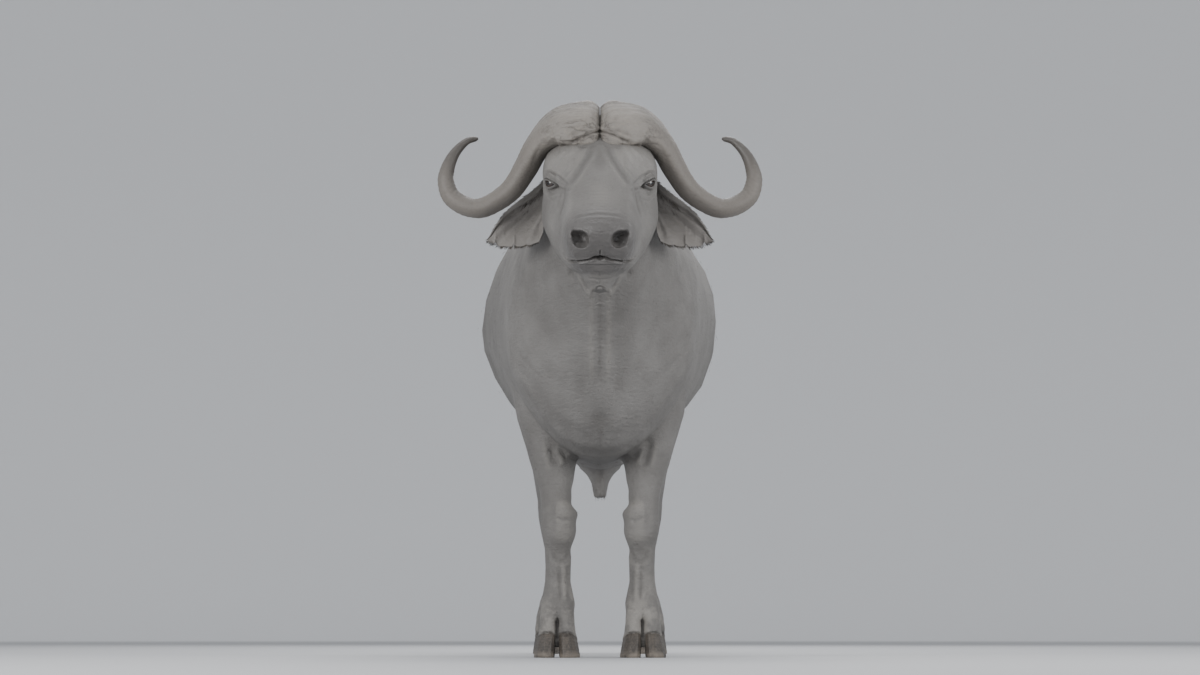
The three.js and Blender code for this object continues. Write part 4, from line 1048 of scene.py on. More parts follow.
@dataclass
class Skin:
    """The one skin over all flesh, from the brow to the coronets, with its folds, lids, lips and nostrils."""

    voxel: float = 0.006
    scrap: int = 4000
    # The share of faces that is kept where the form is broad
    kept: float = 0.192
    hoof_tuck: float = 0.0065
    hoof_cover: float = 0.0022
    fine_zones: Sequence[tuple[Point, float]] = (
        ((0.125, 0.26, 0.0), 0.070),
        ((0.0, 0.585, -0.045), 0.105),
        ((0.06, 0.57, -0.02), 0.080),
    )

    def head_share(self, points: np.ndarray) -> np.ndarray:
        """1 on the head and 0 behind it."""
        return smoothstep(-0.80, -0.86, points[:, 1]) * smoothstep(0.98, 1.02, points[:, 2])

    def leg_share(self, points: np.ndarray) -> np.ndarray:
        """1 on the lower legs and 0 above them."""
        return smoothstep(0.60, 0.50, points[:, 2]) * smoothstep(0.06, 0.08, np.abs(points[:, 0]))

    def sheath_share(self, points: np.ndarray) -> np.ndarray:
        """1 on the sheath and 0 round it."""
        x, y, z = points.T
        return smoothstep(0.655, 0.62, z) * smoothstep(0.09, 0.07, np.abs(x)) * smoothstep(0.20, 0.27, y)

    def tail_share(self, points: np.ndarray) -> np.ndarray:
        """1 on the hanging tail and 0 off it."""
        x, y, z = points.T
        hanging = smoothstep(1.26, 1.30, y) * smoothstep(1.26, 1.20, z)
        return hanging * smoothstep(0.060, 0.045, np.abs(x))

    def busy_share(self, points: np.ndarray) -> np.ndarray:
        """1 where the form is fine: head, lower legs, sheath and tail."""
        shares = (self.head_share, self.leg_share, self.sheath_share, self.tail_share)
        return np.maximum.reduce([share(points) for share in shares])

    def chin_share(self, points: np.ndarray) -> np.ndarray:
        """1 on the chin and its blunt beard."""
        _, h, n = head_places(points).T
        return smoothstep(0.40, 0.44, h) * smoothstep(-0.088, -0.108, n)

    def chest_share(self, points: np.ndarray) -> np.ndarray:
        """1 on the front of the throat and chest."""
        x, y, z = points.T
        ahead = smoothstep(0.30, 0.22, np.abs(x)) * smoothstep(-0.2, -0.3, y)
        return ahead * smoothstep(0.55, 0.6, z) * smoothstep(1.22, 1.12, z)

    def even_body(self) -> bpy.types.Object:
        """Joins the flesh in one even mesh and takes the facets out of it."""
        nodes = frame["nodes"]
        claws = [name for name in FEET if "dewclaw" not in name]
        piece = merged_copy([nodes[name] for name in FLESH + claws], "skin")
        remesh(piece, self.voxel)
        bm = bmesh.new()
        bm.from_mesh(piece.data)
        self.drop_scraps(bm)
        bm.to_mesh(piece.data)
        bm.free()
        shape = Sculptor(piece)
        fine = self.busy_share(shape.points)
        shape.relax(1 - fine, 60, 0.53)
        shape.relax(np.maximum(fine, 0.15), 16, 0.55)
        shape.relax(self.chin_share(shape.points), 60, 0.53)
        shape.relax(self.chin_share(shape.points), 3)
        # The sheath narrows below the belly and hangs blunt
        pinch = 0.42 * bell(shape.points[:, 2] - 0.600, 0.036) * self.sheath_share(shape.points)
        shape.points[:, 0] *= 1 - pinch
        self.thin_out(piece, shape.points)
        shape = Sculptor(piece)
        shape.relax(1 - self.busy_share(shape.points), 40, 0.52)
        return piece

    def thin_out(self, piece: bpy.types.Object, points: np.ndarray) -> None:
        """Joins faces where the form is broad, so that detail is kept for the head and legs."""
        shares = (
            self.head_share(points),
            0.85 * self.leg_share(points),
            self.sheath_share(points),
            self.tail_share(points),
            0.55 * self.chest_share(points),
        )
        busy = np.maximum.reduce(shares)
        group = piece.vertex_groups.new(name="broad")
        steps = np.round((1 - busy) * 12) / 12
        for step in np.unique(steps):
            group.add(np.nonzero(steps == step)[0].tolist(), float(step), "REPLACE")
        modifier = piece.modifiers.new("thin", "DECIMATE")
        modifier.ratio = self.kept
        modifier.vertex_group = group.name
        settle(piece)
        piece.vertex_groups.clear()

    def drop_scraps(self, bm: bmesh.types.BMesh) -> None:
        """Deletes every closed surface but the body's."""
        seen: set[bmesh.types.BMVert] = set()
        scraps: list[bmesh.types.BMVert] = []
        for start in bm.verts:
            if start in seen:
                continue
            seen.add(start)
            shell = [start]
            for vert in shell:
                for edge in vert.link_edges:
                    other = edge.other_vert(vert)
                    if other not in seen:
                        seen.add(other)
                        shell.append(other)
            if len(shell) < self.scrap:
                scraps += shell
        bmesh.ops.delete(bm, geom=scraps, context="VERTS")

    def refine(self, bm: bmesh.types.BMesh, chosen: Callable[[np.ndarray], np.ndarray]) -> None:
        """Splits the edges whose both ends are chosen.

        Args:
            bm: The skin.
            chosen: Tells for each point whether it is in the finer zone.
        """
        bm.verts.ensure_lookup_table()
        points = np.array([v.co for v in bm.verts])
        inside = chosen(points)
        bm.verts.index_update()
        edges = [e for e in bm.edges if inside[e.verts[0].index] and inside[e.verts[1].index]]
        bmesh.ops.subdivide_edges(bm, edges=edges, cuts=1, use_grid_fill=True)

    def in_fine_zone(self, points: np.ndarray) -> np.ndarray:
        """Whether a point lies near the eyes, nostrils or lips."""
        places = head_places(points)
        places[:, 0] = np.abs(places[:, 0])
        near = [np.linalg.norm(places - np.array(at), axis=1) < reach for at, reach in self.fine_zones]
        return np.any(near, axis=0)

    def in_lip_zone(self, points: np.ndarray) -> np.ndarray:
        """Whether a point lies along the front of the mouth."""
        x, h, n = head_places(points).T
        return (h > 0.54) & (np.abs(n + 0.048) < 0.030) & (np.abs(x) < 0.10)

    def on_throat(self, points: np.ndarray) -> np.ndarray:
        """Whether a point lies on the middle of the throat."""
        x, y, z = points.T
        return (np.abs(x) < 0.06) & (y < -0.40) & (z > 0.72) & (z < 1.12)

    def build(self, eyes: Sequence[Eye], nostrils: Sequence[Nostril]) -> bpy.types.Object:
        """Makes the whole skin.

        Args:
            eyes: The eyes that the lids close on.
            nostrils: The nostrils.

        Returns:
            The skin's object.
        """
        piece = self.even_body()
        bm = bmesh.new()
        bm.from_mesh(piece.data)
        self.refine(bm, self.on_throat)
        self.refine(bm, self.in_fine_zone)
        self.refine(bm, self.in_lip_zone)
        split_big_faces(bm)
        bm.to_mesh(piece.data)
        shape = Sculptor(piece)
        shape.relax(np.full(len(shape.points), 0.8), 5, 0.55)
        bm.clear()
        bm.from_mesh(piece.data)
        for coronet in CORONETS:
            coronet.cut(bm)
        bm.to_mesh(piece.data)
        self.sculpt(piece)
        bm.clear()
        bm.from_mesh(piece.data)
        surface = BVHTree.FromBMesh(bm)
        for graft in [eye.lids() for eye in eyes] + [nostril.rim(surface) for nostril in nostrils]:
            graft.set_into(bm, surface)
        bmesh.ops.recalc_face_normals(bm, faces=bm.faces)
        split_big_faces(bm)
        bm.to_mesh(piece.data)
        bm.free()
        piece.data.polygons.foreach_set("use_smooth", [True] * len(piece.data.polygons))
        return piece

    def sculpt(self, piece: bpy.types.Object) -> None:
        """Carves folds, wrinkles, lips and muscles."""
        shape = Sculptor(piece)
        y, z = shape.points[:, 1], shape.points[:, 2]
        facing = smoothstep(0.05, 0.45, -shape.normals[:, 1])
        below_head = smoothstep(-1.02, -0.98, y) * smoothstep(0.5, 0.56, z)
        shape.carve(CHEST, VIEW.points(shape.points), facing * below_head * smoothstep(0.75, 0.5, y))
        facing = smoothstep(-0.1, 0.35, -shape.normals[:, 1])
        foreleg = smoothstep(-0.15, -0.25, y) * smoothstep(0.64, 0.6, z)
        shape.carve(KNEES, VIEW.points(shape.points), foreleg, 0.2)
        shape.carve(SHINS, VIEW.points(shape.points), facing * foreleg)
        side_on = smoothstep(0.3, 0.7, np.abs(shape.normals[:, 0])) * smoothstep(0.62, 0.72, z)
        shape.carve(FLANK, shape.points[:, 1:], side_on * smoothstep(-0.80, -0.74, y), 0.03)
        side_on = smoothstep(0.75, 0.92, np.abs(shape.normals[:, 0]))
        shape.carve(NECK_FOLDS, shape.points[:, 1:], side_on * smoothstep(-0.80, -0.74, y), 0.3)
        self.part_lips(shape)
        facing = smoothstep(0.0, 0.35, -shape.normals[:, 1])
        shape.carve(FACE, VIEW.points(shape.points), facing * smoothstep(-0.82, -0.87, y))
        keep = np.minimum.reduce([np.abs(c.height(shape.points)) for c in CORONETS]) > 0.006
        shape.relax(0.5 * keep, 1)
        self.cover_hooves(shape)
        shape.keep_carving()

    def part_lips(self, shape: Sculptor) -> None:
        """Carves the line of the mouth right round the muzzle."""
        places = head_places(shape.points)
        front = [(0.66, -0.044), (0.604, -0.044), (0.58, -0.056)]
        line = front + [(0.556, -0.069), (0.53, -0.082), (0.47, -0.094)]
        muzzle = smoothstep(0.46, 0.5, places[:, 1]) * smoothstep(0.055, 0.085, np.abs(places[:, 0]))
        shape.carve([Stroke(line, 0.0026, 0.011, 0.28, 0.2)], places[:, 1:], muzzle)

    def cover_hooves(self, shape: Sculptor) -> None:
        """Lays the skin over the claws above the coronets and draws it in below them."""
        for coronet in CORONETS:
            above = coronet.height(shape.points)
            over = smoothstep(0.055, 0.02, above) * (above > -0.0006)
            under = smoothstep(-0.0006, -coronet.lip, above)
            amount = self.hoof_cover * over - self.hoof_tuck * under
            shape.points += shape.normals * amount[:, None]
        shape.points[:, 2] = np.maximum(shape.points[:, 2], 0.004)
        shape.read_normals()


@dataclass
class Spine:
    """A smooth line through stations of any width, a centripetal Catmull-Rom curve."""

    stations: np.ndarray

    def at(self, t: float) -> np.ndarray:
        """The station at t, from 0 to 1."""
        rows = self.stations
        count = len(rows) - 1
        place = min(max(t, 0.0), 1.0) * count
        i = min(int(place), count - 1)
        u = place - i
        before = rows[i - 1] if i else 2 * rows[0] - rows[1]
        after = rows[i + 2] if i + 2 <= count else 2 * rows[count] - rows[count - 1]
        p = [before, rows[i], rows[i + 1], after]
        knots = [0.0]
        for a, b in zip(p[:-1], p[1:]):
            knots.append(knots[-1] + max(1e-6, float(np.linalg.norm((b - a)[:3]))) ** 0.5)
        x = knots[1] + u * (knots[2] - knots[1])

        def between(a: np.ndarray, b: np.ndarray, low: float, high: float) -> np.ndarray:
            """A mix of two rows by the knot value."""
            return (high - x) / (high - low) * a + (x - low) / (high - low) * b

        a1, a2, a3 = (between(p[k], p[k + 1], knots[k], knots[k + 1]) for k in range(3))
        b1, b2 = between(a1, a2, knots[0], knots[2]), between(a2, a3, knots[1], knots[3])
        return between(b1, b2, knots[1], knots[2])


def swept(sections: Sequence[Callable[[float], Vector]], around: int) -> bmesh.types.BMesh:
    """A closed tube, extruded from ring to ring.

    Args:
        sections: One function a ring, which gives the point at a turn from 0 to 1.
        around: Points in a ring.

    Returns:
        The tube's bmesh.
    """
    bm = bmesh.new()
    layer = bm.verts.layers.int.new("turn")
    verts, edges = first_ring(bm, around, layer)
    first = edges
    for number, section in enumerate(sections):
        if number:
            verts, edges = next_ring(bm, edges)
        for vert in verts:
            vert.co = section(vert[layer] / around)
    for ends in (first, edges):
        bmesh.ops.contextual_create(bm, geom=ends)
    bmesh.ops.recalc_face_normals(bm, faces=bm.faces)
    return bm


@dataclass
class Horn:
    """One horn with its half of the boss."""

    side: int
    around: int = 128
    rings: int = 210
    # The parting between both halves of the boss: half its width, its rounded edge and its depth's share
    slit: float = 0.0008
    shoulder: float = 0.028
    parting: float = 0.19
    # The middle of the boss, which the parting draws in to
    heart: Point = (0, -0.957, 1.524)
    # Where the boss bends into the shaft, in the photograph's points, and how far it is smoothed
    bend_at: Pair = (49, 143)
    bend_size: Pair = (13, 11)
    bend_rounds: int = 60
    # x, y and z of each station, and how thick and deep the horn is there
    stations: Sequence[Sequence[float]] = (
        (-0.030, -0.9695, 1.5080, 0.056, 0.184),
        (0.000, -0.9710, 1.5147, 0.088, 0.202),
        (0.012, -0.9718, 1.5171, 0.104, 0.214),
        (0.026, -0.9718, 1.5191, 0.112, 0.222),
        (0.058, -0.9718, 1.5221, 0.116, 0.224),
        (0.122, -0.953, 1.516, 0.106, 0.226),
        (0.182, -0.945, 1.462, 0.076, 0.164),
        (0.214, -0.937, 1.404, 0.069, 0.124),
        (0.264, -0.925, 1.335, 0.061, 0.098),
        (0.352, -0.913, 1.291, 0.056, 0.082),
        (0.425, -0.905, 1.322, 0.053, 0.070),
        (0.445, -0.900, 1.374, 0.047, 0.058),
        (0.438, -0.893, 1.418, 0.039, 0.046),
        (0.417, -0.885, 1.461, 0.029, 0.034),
        (0.384, -0.877, 1.494, 0.020, 0.022),
        (0.360, -0.872, 1.501, 0.014, 0.015),
        (0.354, -0.871, 1.502, 0.007, 0.008),
    )
    marks: Sequence[Stroke | Mound] = (
        Stroke([(-4, 131), (6, 132), (14, 134.6), (22, 139.0), (31, 143.6)], 1.3, 0.0066, 0.5, 0.1),
        Mound((14, 117), (10, 8), 0.0075),
        Mound((33, 117), (13, 8), 0.0070, 14),
        Stroke([(3.0, 109), (9, 104.8), (20, 103.6), (34, 106), (42, 113)], 2.6, 0.0018, 0.4),
        Stroke([(4, 127.5), (13, 128.5), (26, 132), (36, 137)], 2.8, 0.0022, 0.5),
        Stroke([(9, 123), (14, 124.5), (24, 122), (36, 116)], 1.8, -0.0016, 0.4),
        Stroke([(30, 138), (44, 136), (55, 129), (62, 138), (69, 152)], 2.2, 0.0014, 0.5),
        Stroke([(46, 107), (57, 116), (66, 131)], 2.4, 0.0012, 0.5),
        Stroke([(46, 129), (56, 139), (63, 152), (69, 168)], 1.8, 0.0012, 0.5),
        Stroke([(44, 130), (50, 133.5), (55, 139)], 1.2, -0.0012, 0.5),
        Stroke([(41, 133), (47, 137), (52, 142.5)], 1.2, -0.0010, 0.5),
        Stroke([(26, 148), (36, 147), (43, 146)], 2.0, 0.0045, 0.0, 0.3),
        Mound((11, 142), (6, 4), 0.0045),
        Mound((18, 144), (4, 3), 0.0030),
        Stroke([(22, 139), (22.6, 146.5)], 1.1, 0.0036),
        Stroke([(5, 136), (5.5, 143)], 1.0, 0.0012),
    )

    def sections(self) -> list[Callable[[float], Vector]]:
        """One function a ring, from the middle line out to the tip."""
        spine = Spine(np.array([[s[0] * self.side, *s[1:]] for s in self.stations]))
        made = []
        for k in range(self.rings + 1):
            t = k / self.rings
            row = spine.at(t)
            tangent = Vector((spine.at(t + 0.002) - spine.at(t - 0.002))[:3]).normalized()
            share = float(smoothstep(0.2, 0.45, np.array(t)))
            across = (-HEAD_AXIS).lerp(Vector((0, 1, 0)), share)
            deep_way = (across - tangent * across.dot(tangent)).normalized()
            thick_way = tangent.cross(deep_way)
            made.append(self.section(Vector(row[:3]), thick_way * (row[3] / 2), deep_way * (row[4] / 2)))
        return made

    @staticmethod
    def section(centre: Vector, thick: Vector, deep: Vector) -> Callable[[float], Vector]:
        """An oval ring."""

        def at(turn: float) -> Vector:
            """A point of the ring."""
            angle = turn * 2 * math.pi
            return centre + thick * math.cos(angle) + deep * math.sin(angle)

        return at

    def build(self) -> bpy.types.Object:
        """The horn with its grooves, rough boss and growth rings."""
        bm = swept(self.sections(), self.around)
        whole = bm.verts[:] + bm.edges[:] + bm.faces[:]
        middle, way = Vector((self.side * self.slit, 0, 0)), Vector((-self.side, 0, 0))
        bmesh.ops.bisect_plane(bm, geom=whole, plane_co=middle, plane_no=way, clear_outer=True)
        rim = [e for e in bm.edges if e.is_boundary]
        face = bmesh.ops.contextual_create(bm, geom=rim)["faces"]
        bmesh.ops.inset_region(bm, faces=face, thickness=0.004)
        split_big_faces(bm)
        bmesh.ops.recalc_face_normals(bm, faces=bm.faces)
        piece = new_piece(f"horn_sheath_{side_name(self.side)}", bm)
        self.carve(piece)
        return piece

    def carve(self, piece: bpy.types.Object) -> None:
        """Rounds the boss at the middle line and carves its surface."""
        shape = Sculptor(piece)
        x = np.abs(shape.points[:, 0])
        from_heart = shape.points - np.array(self.heart)
        from_heart[:, 0] = 0
        close = np.clip(1 - (x - self.slit) / self.shoulder, 0, 1)
        shape.points -= from_heart * (self.parting * close**2.2)[:, None]
        flat = VIEW.points(shape.points)
        corner = np.hypot(*((flat - np.array(self.bend_at)) / np.array(self.bend_size)).T)
        shape.relax(1 - smoothstep(0.45, 1.0, corner), self.bend_rounds)
        flat = VIEW.points(shape.points)
        front = smoothstep(0.0, 0.3, -shape.normals[:, 1]) * smoothstep(-0.88, -0.93, shape.points[:, 1])
        shape.carve(self.marks, flat, front, 0.7)
        shape.push(self.relief(shape.points, x))
        shape.points[self.side * shape.points[:, 0] < self.slit, 0] = self.side * self.slit
        shape.read_normals()
        shape.keep_carving()

    def relief(self, points: np.ndarray, x: np.ndarray) -> np.ndarray:
        """Waves of growth: long soft ones on the boss and finer ones round the horn's bend."""
        y, z = points[:, 1], points[:, 2]
        boss = 1 - smoothstep(0.12, 0.2, x)
        bend = smoothstep(0.17, 0.24, x) * (1 - smoothstep(1.36, 1.44, z) * smoothstep(0.3, 0.4, x))
        lengthwise = np.sin(y * 150 + z * 46 + 2.4 * np.sin(x * 34) + 1.6 * np.sin(z * 40))
        fine = np.sin(y * 330 + z * 120 + 3 * np.sin(x * 60))
        turn = np.arctan2(z - 1.42, x - 0.33)
        rings = np.sin(turn * 60 + 1.5 * np.sin(y * 90))
        return boss * (0.0009 * lengthwise + 0.0004 * fine) + bend * (0.0005 * rings + 0.0005 * lengthwise)


@dataclass
class Ear:
    """One broad ear: a cupped leaf with a rolled upper edge, folds inside and a ragged lower edge."""

    side: int
    root_y: float = -0.889
    tip_y: float = -0.793
    thickness: float = 0.0060
    cup: float = 0.030
    upper_share: float = 0.22
    along: int = 120
    around: int = 120
    # Out from the head: x, and the heights of the upper and lower edges
    blade: Sequence[Point] = (
        (0.128, 1.385, 1.330),
        (0.152, 1.386, 1.304),
        (0.159, 1.384, 1.280),
        (0.165, 1.379, 1.224),
        (0.176, 1.368, 1.200),
        (0.200, 1.349, 1.192),
        (0.228, 1.330, 1.189),
        (0.256, 1.311, 1.191),
        (0.280, 1.291, 1.194),
        (0.302, 1.262, 1.200),
        (0.320, 1.230, 1.206),
        (0.329, 1.217, 1.211),
    )
    # Bites out of the lower edge: x, how wide and how deep
    notches: Sequence[Point] = (
        (0.249, 0.0038, 0.009),
        (0.305, 0.0042, 0.008),
        (0.214, 0.006, 0.003),
        (0.279, 0.004, 0.0025),
    )
    # Where the folds inside the ear fan out from: x and z
    fan_root: Pair = (0.120, 1.372)

    def __post_init__(self) -> None:
        """Works out the ear's directions."""
        self.facing = Vector((0, -1, 0))
        self.rows = np.array(self.blade)

    def edges(self, x: float) -> Pair:
        """Heights of the upper and lower edge at a place out from the head."""
        top, low = (float(np.interp(x, self.rows[:, 0], self.rows[:, k])) for k in (1, 2))
        return top, low + sum(deep * math.exp(-(((x - at) / wide) ** 2)) for at, wide, deep in self.notches)

    def point(self, u: float, v: float) -> Vector:
        """A point of the leaf's middle.

        Args:
            u: From 0 at the root to 1 at the tip.
            v: From -1 at the lower edge to 1 at the upper.

        Returns:
            The point, on the right side of the frame for this ear.
        """
        first, last = self.rows[0, 0], self.rows[-1, 0]
        x = first + u * (last - first)
        top, low = self.edges(x)
        middle = top - self.upper_share * (top - low)
        z = middle + v * (top - middle if v >= 0 else middle - low)
        hollow = self.cup * math.sin(math.pi * min(1.0, 0.15 + u * 0.8)) ** 0.8
        down = max(0.0, -v)
        roll = 0.006 * max(0.0, v) ** 2 * math.sin(math.pi * min(1, 0.08 + 0.92 * u))
        # Folds fan out from the root to the lower edge
        out, fall = x - self.fan_root[0], self.fan_root[1] - z
        fan, far = math.atan2(fall, out), math.hypot(fall, out)
        ribs = 0.0080 * math.sin(13 * fan + 0.6) * smooth(0.05, 0.12, far) * smooth(0.35, -0.15, v)
        ribs += 0.0030 * math.sin(29 * fan + 2.0) * smooth(0.06, 0.14, far) * smooth(0.2, -0.3, v)
        lip = 0.012 * smooth(0.62, 1.0, down) * smooth(0.46, 0.30, u)
        lip -= 0.005 * float(bell(down - 0.55, 0.16)) * smooth(0.42, 0.26, u)
        curl = -0.006 * smooth(0.6, 1.0, down) * math.sin(16 * u + 1.2) * smooth(0.3, 0.5, u)
        shell = v * v - 1 if v < 0 else 0.7 * smooth(0.0, 0.5, v) - 1
        depth = hollow * shell + roll + ribs + lip + curl
        y = self.root_y + u * (self.tip_y - self.root_y) - depth
        return Vector((self.side * x, y, z))

    def half_thickness(self, u: float, v: float) -> float:
        """Half of the leaf's thickness: fullest in the rolled upper edge and near the root."""
        rolled = 2.6 * smooth(0.25, 0.6, v) * (1 - 0.6 * u)
        lobe = 0.5 * smooth(0.7, 0.95, -v) * smooth(0.4, 0.2, u)
        return self.thickness / 2 * (1.5 - 0.8 * u) * (1 + rolled + lobe)

    def section(self, u: float) -> Callable[[float], Vector]:
        """The ring round the leaf at u, front then back."""

        def at(turn: float) -> Vector:
            """A point of the ring."""
            v, way = math.cos(2 * math.pi * turn), math.sin(2 * math.pi * turn)
            offset = self.half_thickness(u, v) * math.copysign(abs(way) ** 0.5, way)
            return self.point(u, v) + self.facing * offset

        return at

    def build(self) -> bpy.types.Object:
        """The ear's closed shell."""
        bm = swept([self.section(k / self.along) for k in range(self.along + 1)], self.around)
        split_big_faces(bm)
        return new_piece(f"ear_leaf_{side_name(self.side)}", bm)


@dataclass
class Claw:
    """One claw or dewclaw: the CAD solid, rounded and lined with growth rings."""

    node: str
    voxel: float = 0.0034
    rounds: int = 12
    grow: float = 0.0005
    ring: float = 0.0050
    ring_depth: float = 0.0005
    # Below this height the claw is flat on the floor
    sole: float = 0.0025

    def build(self) -> bpy.types.Object:
        """The claw's horn, flat where it stands on the floor."""
        piece = merged_copy([frame["nodes"][self.node]], f"{self.node}_horn")
        remesh(piece, self.voxel)
        shape = Sculptor(piece)
        shape.relax(np.ones(len(shape.points)), self.rounds, 0.56)
        z = shape.points[:, 2]
        upright = 1 - np.abs(shape.normals[:, 2])
        level = (z - 0.25 * shape.points[:, 1]) / self.ring * 2 * math.pi
        wave = np.sin(level + 2 * np.sin(shape.points[:, 0] * 60))
        shape.push(self.grow + self.ring_depth * wave * upright * smoothstep(0.004, 0.02, z))
        if "dewclaw" in self.node:
            shape.points[:, 1] += 0.001
        shape.points[:, 2] = np.where(z < self.sole, 0.0, np.maximum(z, 0.0))
        shape.read_normals()
        shape.keep_carving()
        return piece


class Coat(Enum):
    """The kinds of hair on the bull."""

    TASSEL = "tail_hair"
    CHIN = "chin_hair"
    EAR = "ear_fringe"
    SHEATH = "sheath_hair"
    BODY = "body_tufts"


@dataclass(frozen=True)
class Tuft:
    """Where one tuft grows and how it lies."""

    root: Vector
    way: Vector
    up: Vector
    length: float
    width: float
    bend: float


# The legs reach up to here, and begin this far out from the middle
LEG_TOP = 0.62
LEG_INSIDE = 0.06
# The upright axes of the legs: how far out and how far back
FORE_AXIS = (0.13, -0.36)
HIND_AXIS = (0.178, 1.06)
# The height of the trunk's long axis, and half the bull's length
TRUNK_AXIS = 1.1
HALF_LENGTH = 1.38
# A chance so small that no tuft grows there
NOWHERE = 1e-9


@dataclass
class Hair:
    """Many tufts in one mesh, each a thin tapering three-sided lock."""

    kind: Coat
    side: str = ""
    joints: int = 3
    # Half the size of a tuft's patch on the baking map
    patch: float = 0.0014

    def build(self, tufts: Sequence[Tuft]) -> bpy.types.Object:
        """Joins the tufts in one mesh.

        Args:
            tufts: Where each one grows.

        Returns:
            The piece, with its baking map.
        """
        ring, rows = 3, self.joints
        per = ring * rows + 1
        points = np.zeros((len(tufts) * per, 3))
        faces: list[tuple[int, ...]] = []
        places: list[Pair] = []
        for number, tuft in enumerate(tufts):
            base = number * per
            across = tuft.way.cross(tuft.up).normalized()
            for row in range(rows):
                t = row / rows
                rise = tuft.up * (tuft.bend * tuft.length * t * t)
                centre = tuft.root + tuft.way * (tuft.length * t) + rise
                half = tuft.width * (1 - 0.55 * t) * (0.8 + 0.8 * t * (1 - t))
                for k in range(ring):
                    turn = 2 * math.pi * k / ring
                    offset = across * (half * math.cos(turn)) + tuft.up * (half * 0.45 * math.sin(turn))
                    points[base + row * ring + k] = centre + offset
            tip = tuft.root + tuft.way * tuft.length + tuft.up * (tuft.bend * tuft.length)
            points[base + per - 1] = tip
            faces.append((base + 2, base + 1, base))
            for row in range(rows - 1):
                for k in range(ring):
                    a, b = base + row * ring + k, base + row * ring + (k + 1) % ring
                    faces.append((a, b, b + ring, a + ring))
            top = base + (rows - 1) * ring
            faces += [(top + k, top + (k + 1) % ring, base + per - 1) for k in range(ring)]
            places += [unwrapped(tuft.root)] * (len(faces) - len(places))
        mesh = bpy.data.meshes.new(self.kind.value + self.side)
        mesh.from_pydata(points.tolist(), [], faces)
        layer = mesh.uv_layers.new(name="OFBake")
        corners = []
        for face, (u, v) in zip(faces, places):
            turns = [2 * math.pi * k / len(face) for k in range(len(face))]
            corners += [(u + self.patch * math.cos(t), v + self.patch * math.sin(t)) for t in turns]
        layer.data.foreach_set("uv", np.array(corners, np.float32).ravel())
        mesh.polygons.foreach_set("use_smooth", [True] * len(faces))
        piece = bpy.data.objects.new(self.kind.value + self.side, mesh)
        bpy.context.scene.collection.objects.link(piece)
        return piece


def unwrapped(root: Vector) -> Pair:
    """Where a tuft's root lies on the unrolled skin, trunk and legs each round their own axis."""
    if root.z < LEG_TOP and abs(root.x) > LEG_INSIDE:
        front, left = root.y < 0.3, root.x > 0
        axis_x, axis_y = FORE_AXIS if front else HIND_AXIS
        turn = math.atan2(root.y - axis_y, abs(root.x) - axis_x) / (2 * math.pi) + 0.5
        column = (0 if front else 2) + (0 if left else 1)
        return 0.66 + 0.08 * column + 0.07 * turn, 0.02 + 0.9 * root.z / LEG_TOP
    turn = math.atan2(root.x, root.z - TRUNK_AXIS) / (2 * math.pi) + 0.5
    return 0.02 + 0.6 * turn, 0.02 + 0.96 * (root.y + HALF_LENGTH) / (2 * HALF_LENGTH)


def muzzle_share(points: np.ndarray) -> np.ndarray:
    """1 on the bare muzzle and 0 off it."""
    places = head_places(points)
    return smoothstep(0.535, 0.575, places[:, 1] + 0.25 * places[:, 2])


def body_density(middle: np.ndarray, normal: np.ndarray) -> np.ndarray:
    """Where the coat breaks the form: crest, throat, belly, jaw and the backs of the legs."""
    x, y, z = np.abs(middle[:, 0]), middle[:, 1], middle[:, 2]
    crest = bell(x, 0.06) * smoothstep(0.5, 0.9, normal[:, 2]) * smoothstep(1.2, 1.4, z) * 1.6
    under = bell(x, 0.12) * smoothstep(-0.3, -0.8, normal[:, 2]) * smoothstep(0.5, 0.55, z) * 1.4
    throat = bell(x, 0.05) * smoothstep(0.3, 0.8, -normal[:, 1])
    throat = throat * smoothstep(-0.8, -0.7, y) * smoothstep(-0.2, -0.4, y) * 1.2
    behind = 0.4 + 0.9 * np.clip(normal[:, 1], 0, 1)
    legs = smoothstep(LEG_TOP, 0.5, z) * smoothstep(0.09, 0.13, z) * behind
    face = smoothstep(-0.84, -0.9, y) * smoothstep(1.0, 1.05, z)
    jaw = face * bell(z - 1.1, 0.05) * smoothstep(-0.1, -0.5, normal[:, 2]) * 0.3
    bare = np.minimum.reduce([c.height(middle) for c in CORONETS]) < 0.003
    coat = np.clip(0.22 + crest + under + throat + legs + jaw - 0.18 * face, 0.02, 3)
    return coat * (1 - muzzle_share(middle)) * ~bare


def chin_density(middle: np.ndarray, normal: np.ndarray) -> np.ndarray:
    """Under the chin."""
    x, y, z = np.abs(middle[:, 0]), middle[:, 1], middle[:, 2]
    under = (x < 0.06) & (y < -1.12) & (y > -1.26) & (z < 1.15) & (z > 1.0)
    return under * smoothstep(0.3, -0.3, normal[:, 2]) + NOWHERE


def sheath_density(middle: np.ndarray, normal: np.ndarray) -> np.ndarray:
    """The lower end of the sheath."""
    x, y, z = np.abs(middle[:, 0]), middle[:, 1], middle[:, 2]
    end = (x < 0.05) & (z < 0.56) & (y > 0.4) & (y < 0.6)
    return end * smoothstep(0.2, -0.4, normal[:, 2]) + NOWHERE


@dataclass(frozen=True)
class Growth:
    """How one kind of hair grows on the skin.

    Attributes:
        kind: The kind of hair.
        density: How likely each face is for its size, from its middle and normal.
        count: How many tufts.
        length: Shortest and longest.
        width: Thinnest and thickest.
        rise: Least and most rise off the skin.
    """

    kind: Coat
    density: Callable[[np.ndarray, np.ndarray], np.ndarray]
    count: int
    length: Pair
    width: Pair
    rise: Pair


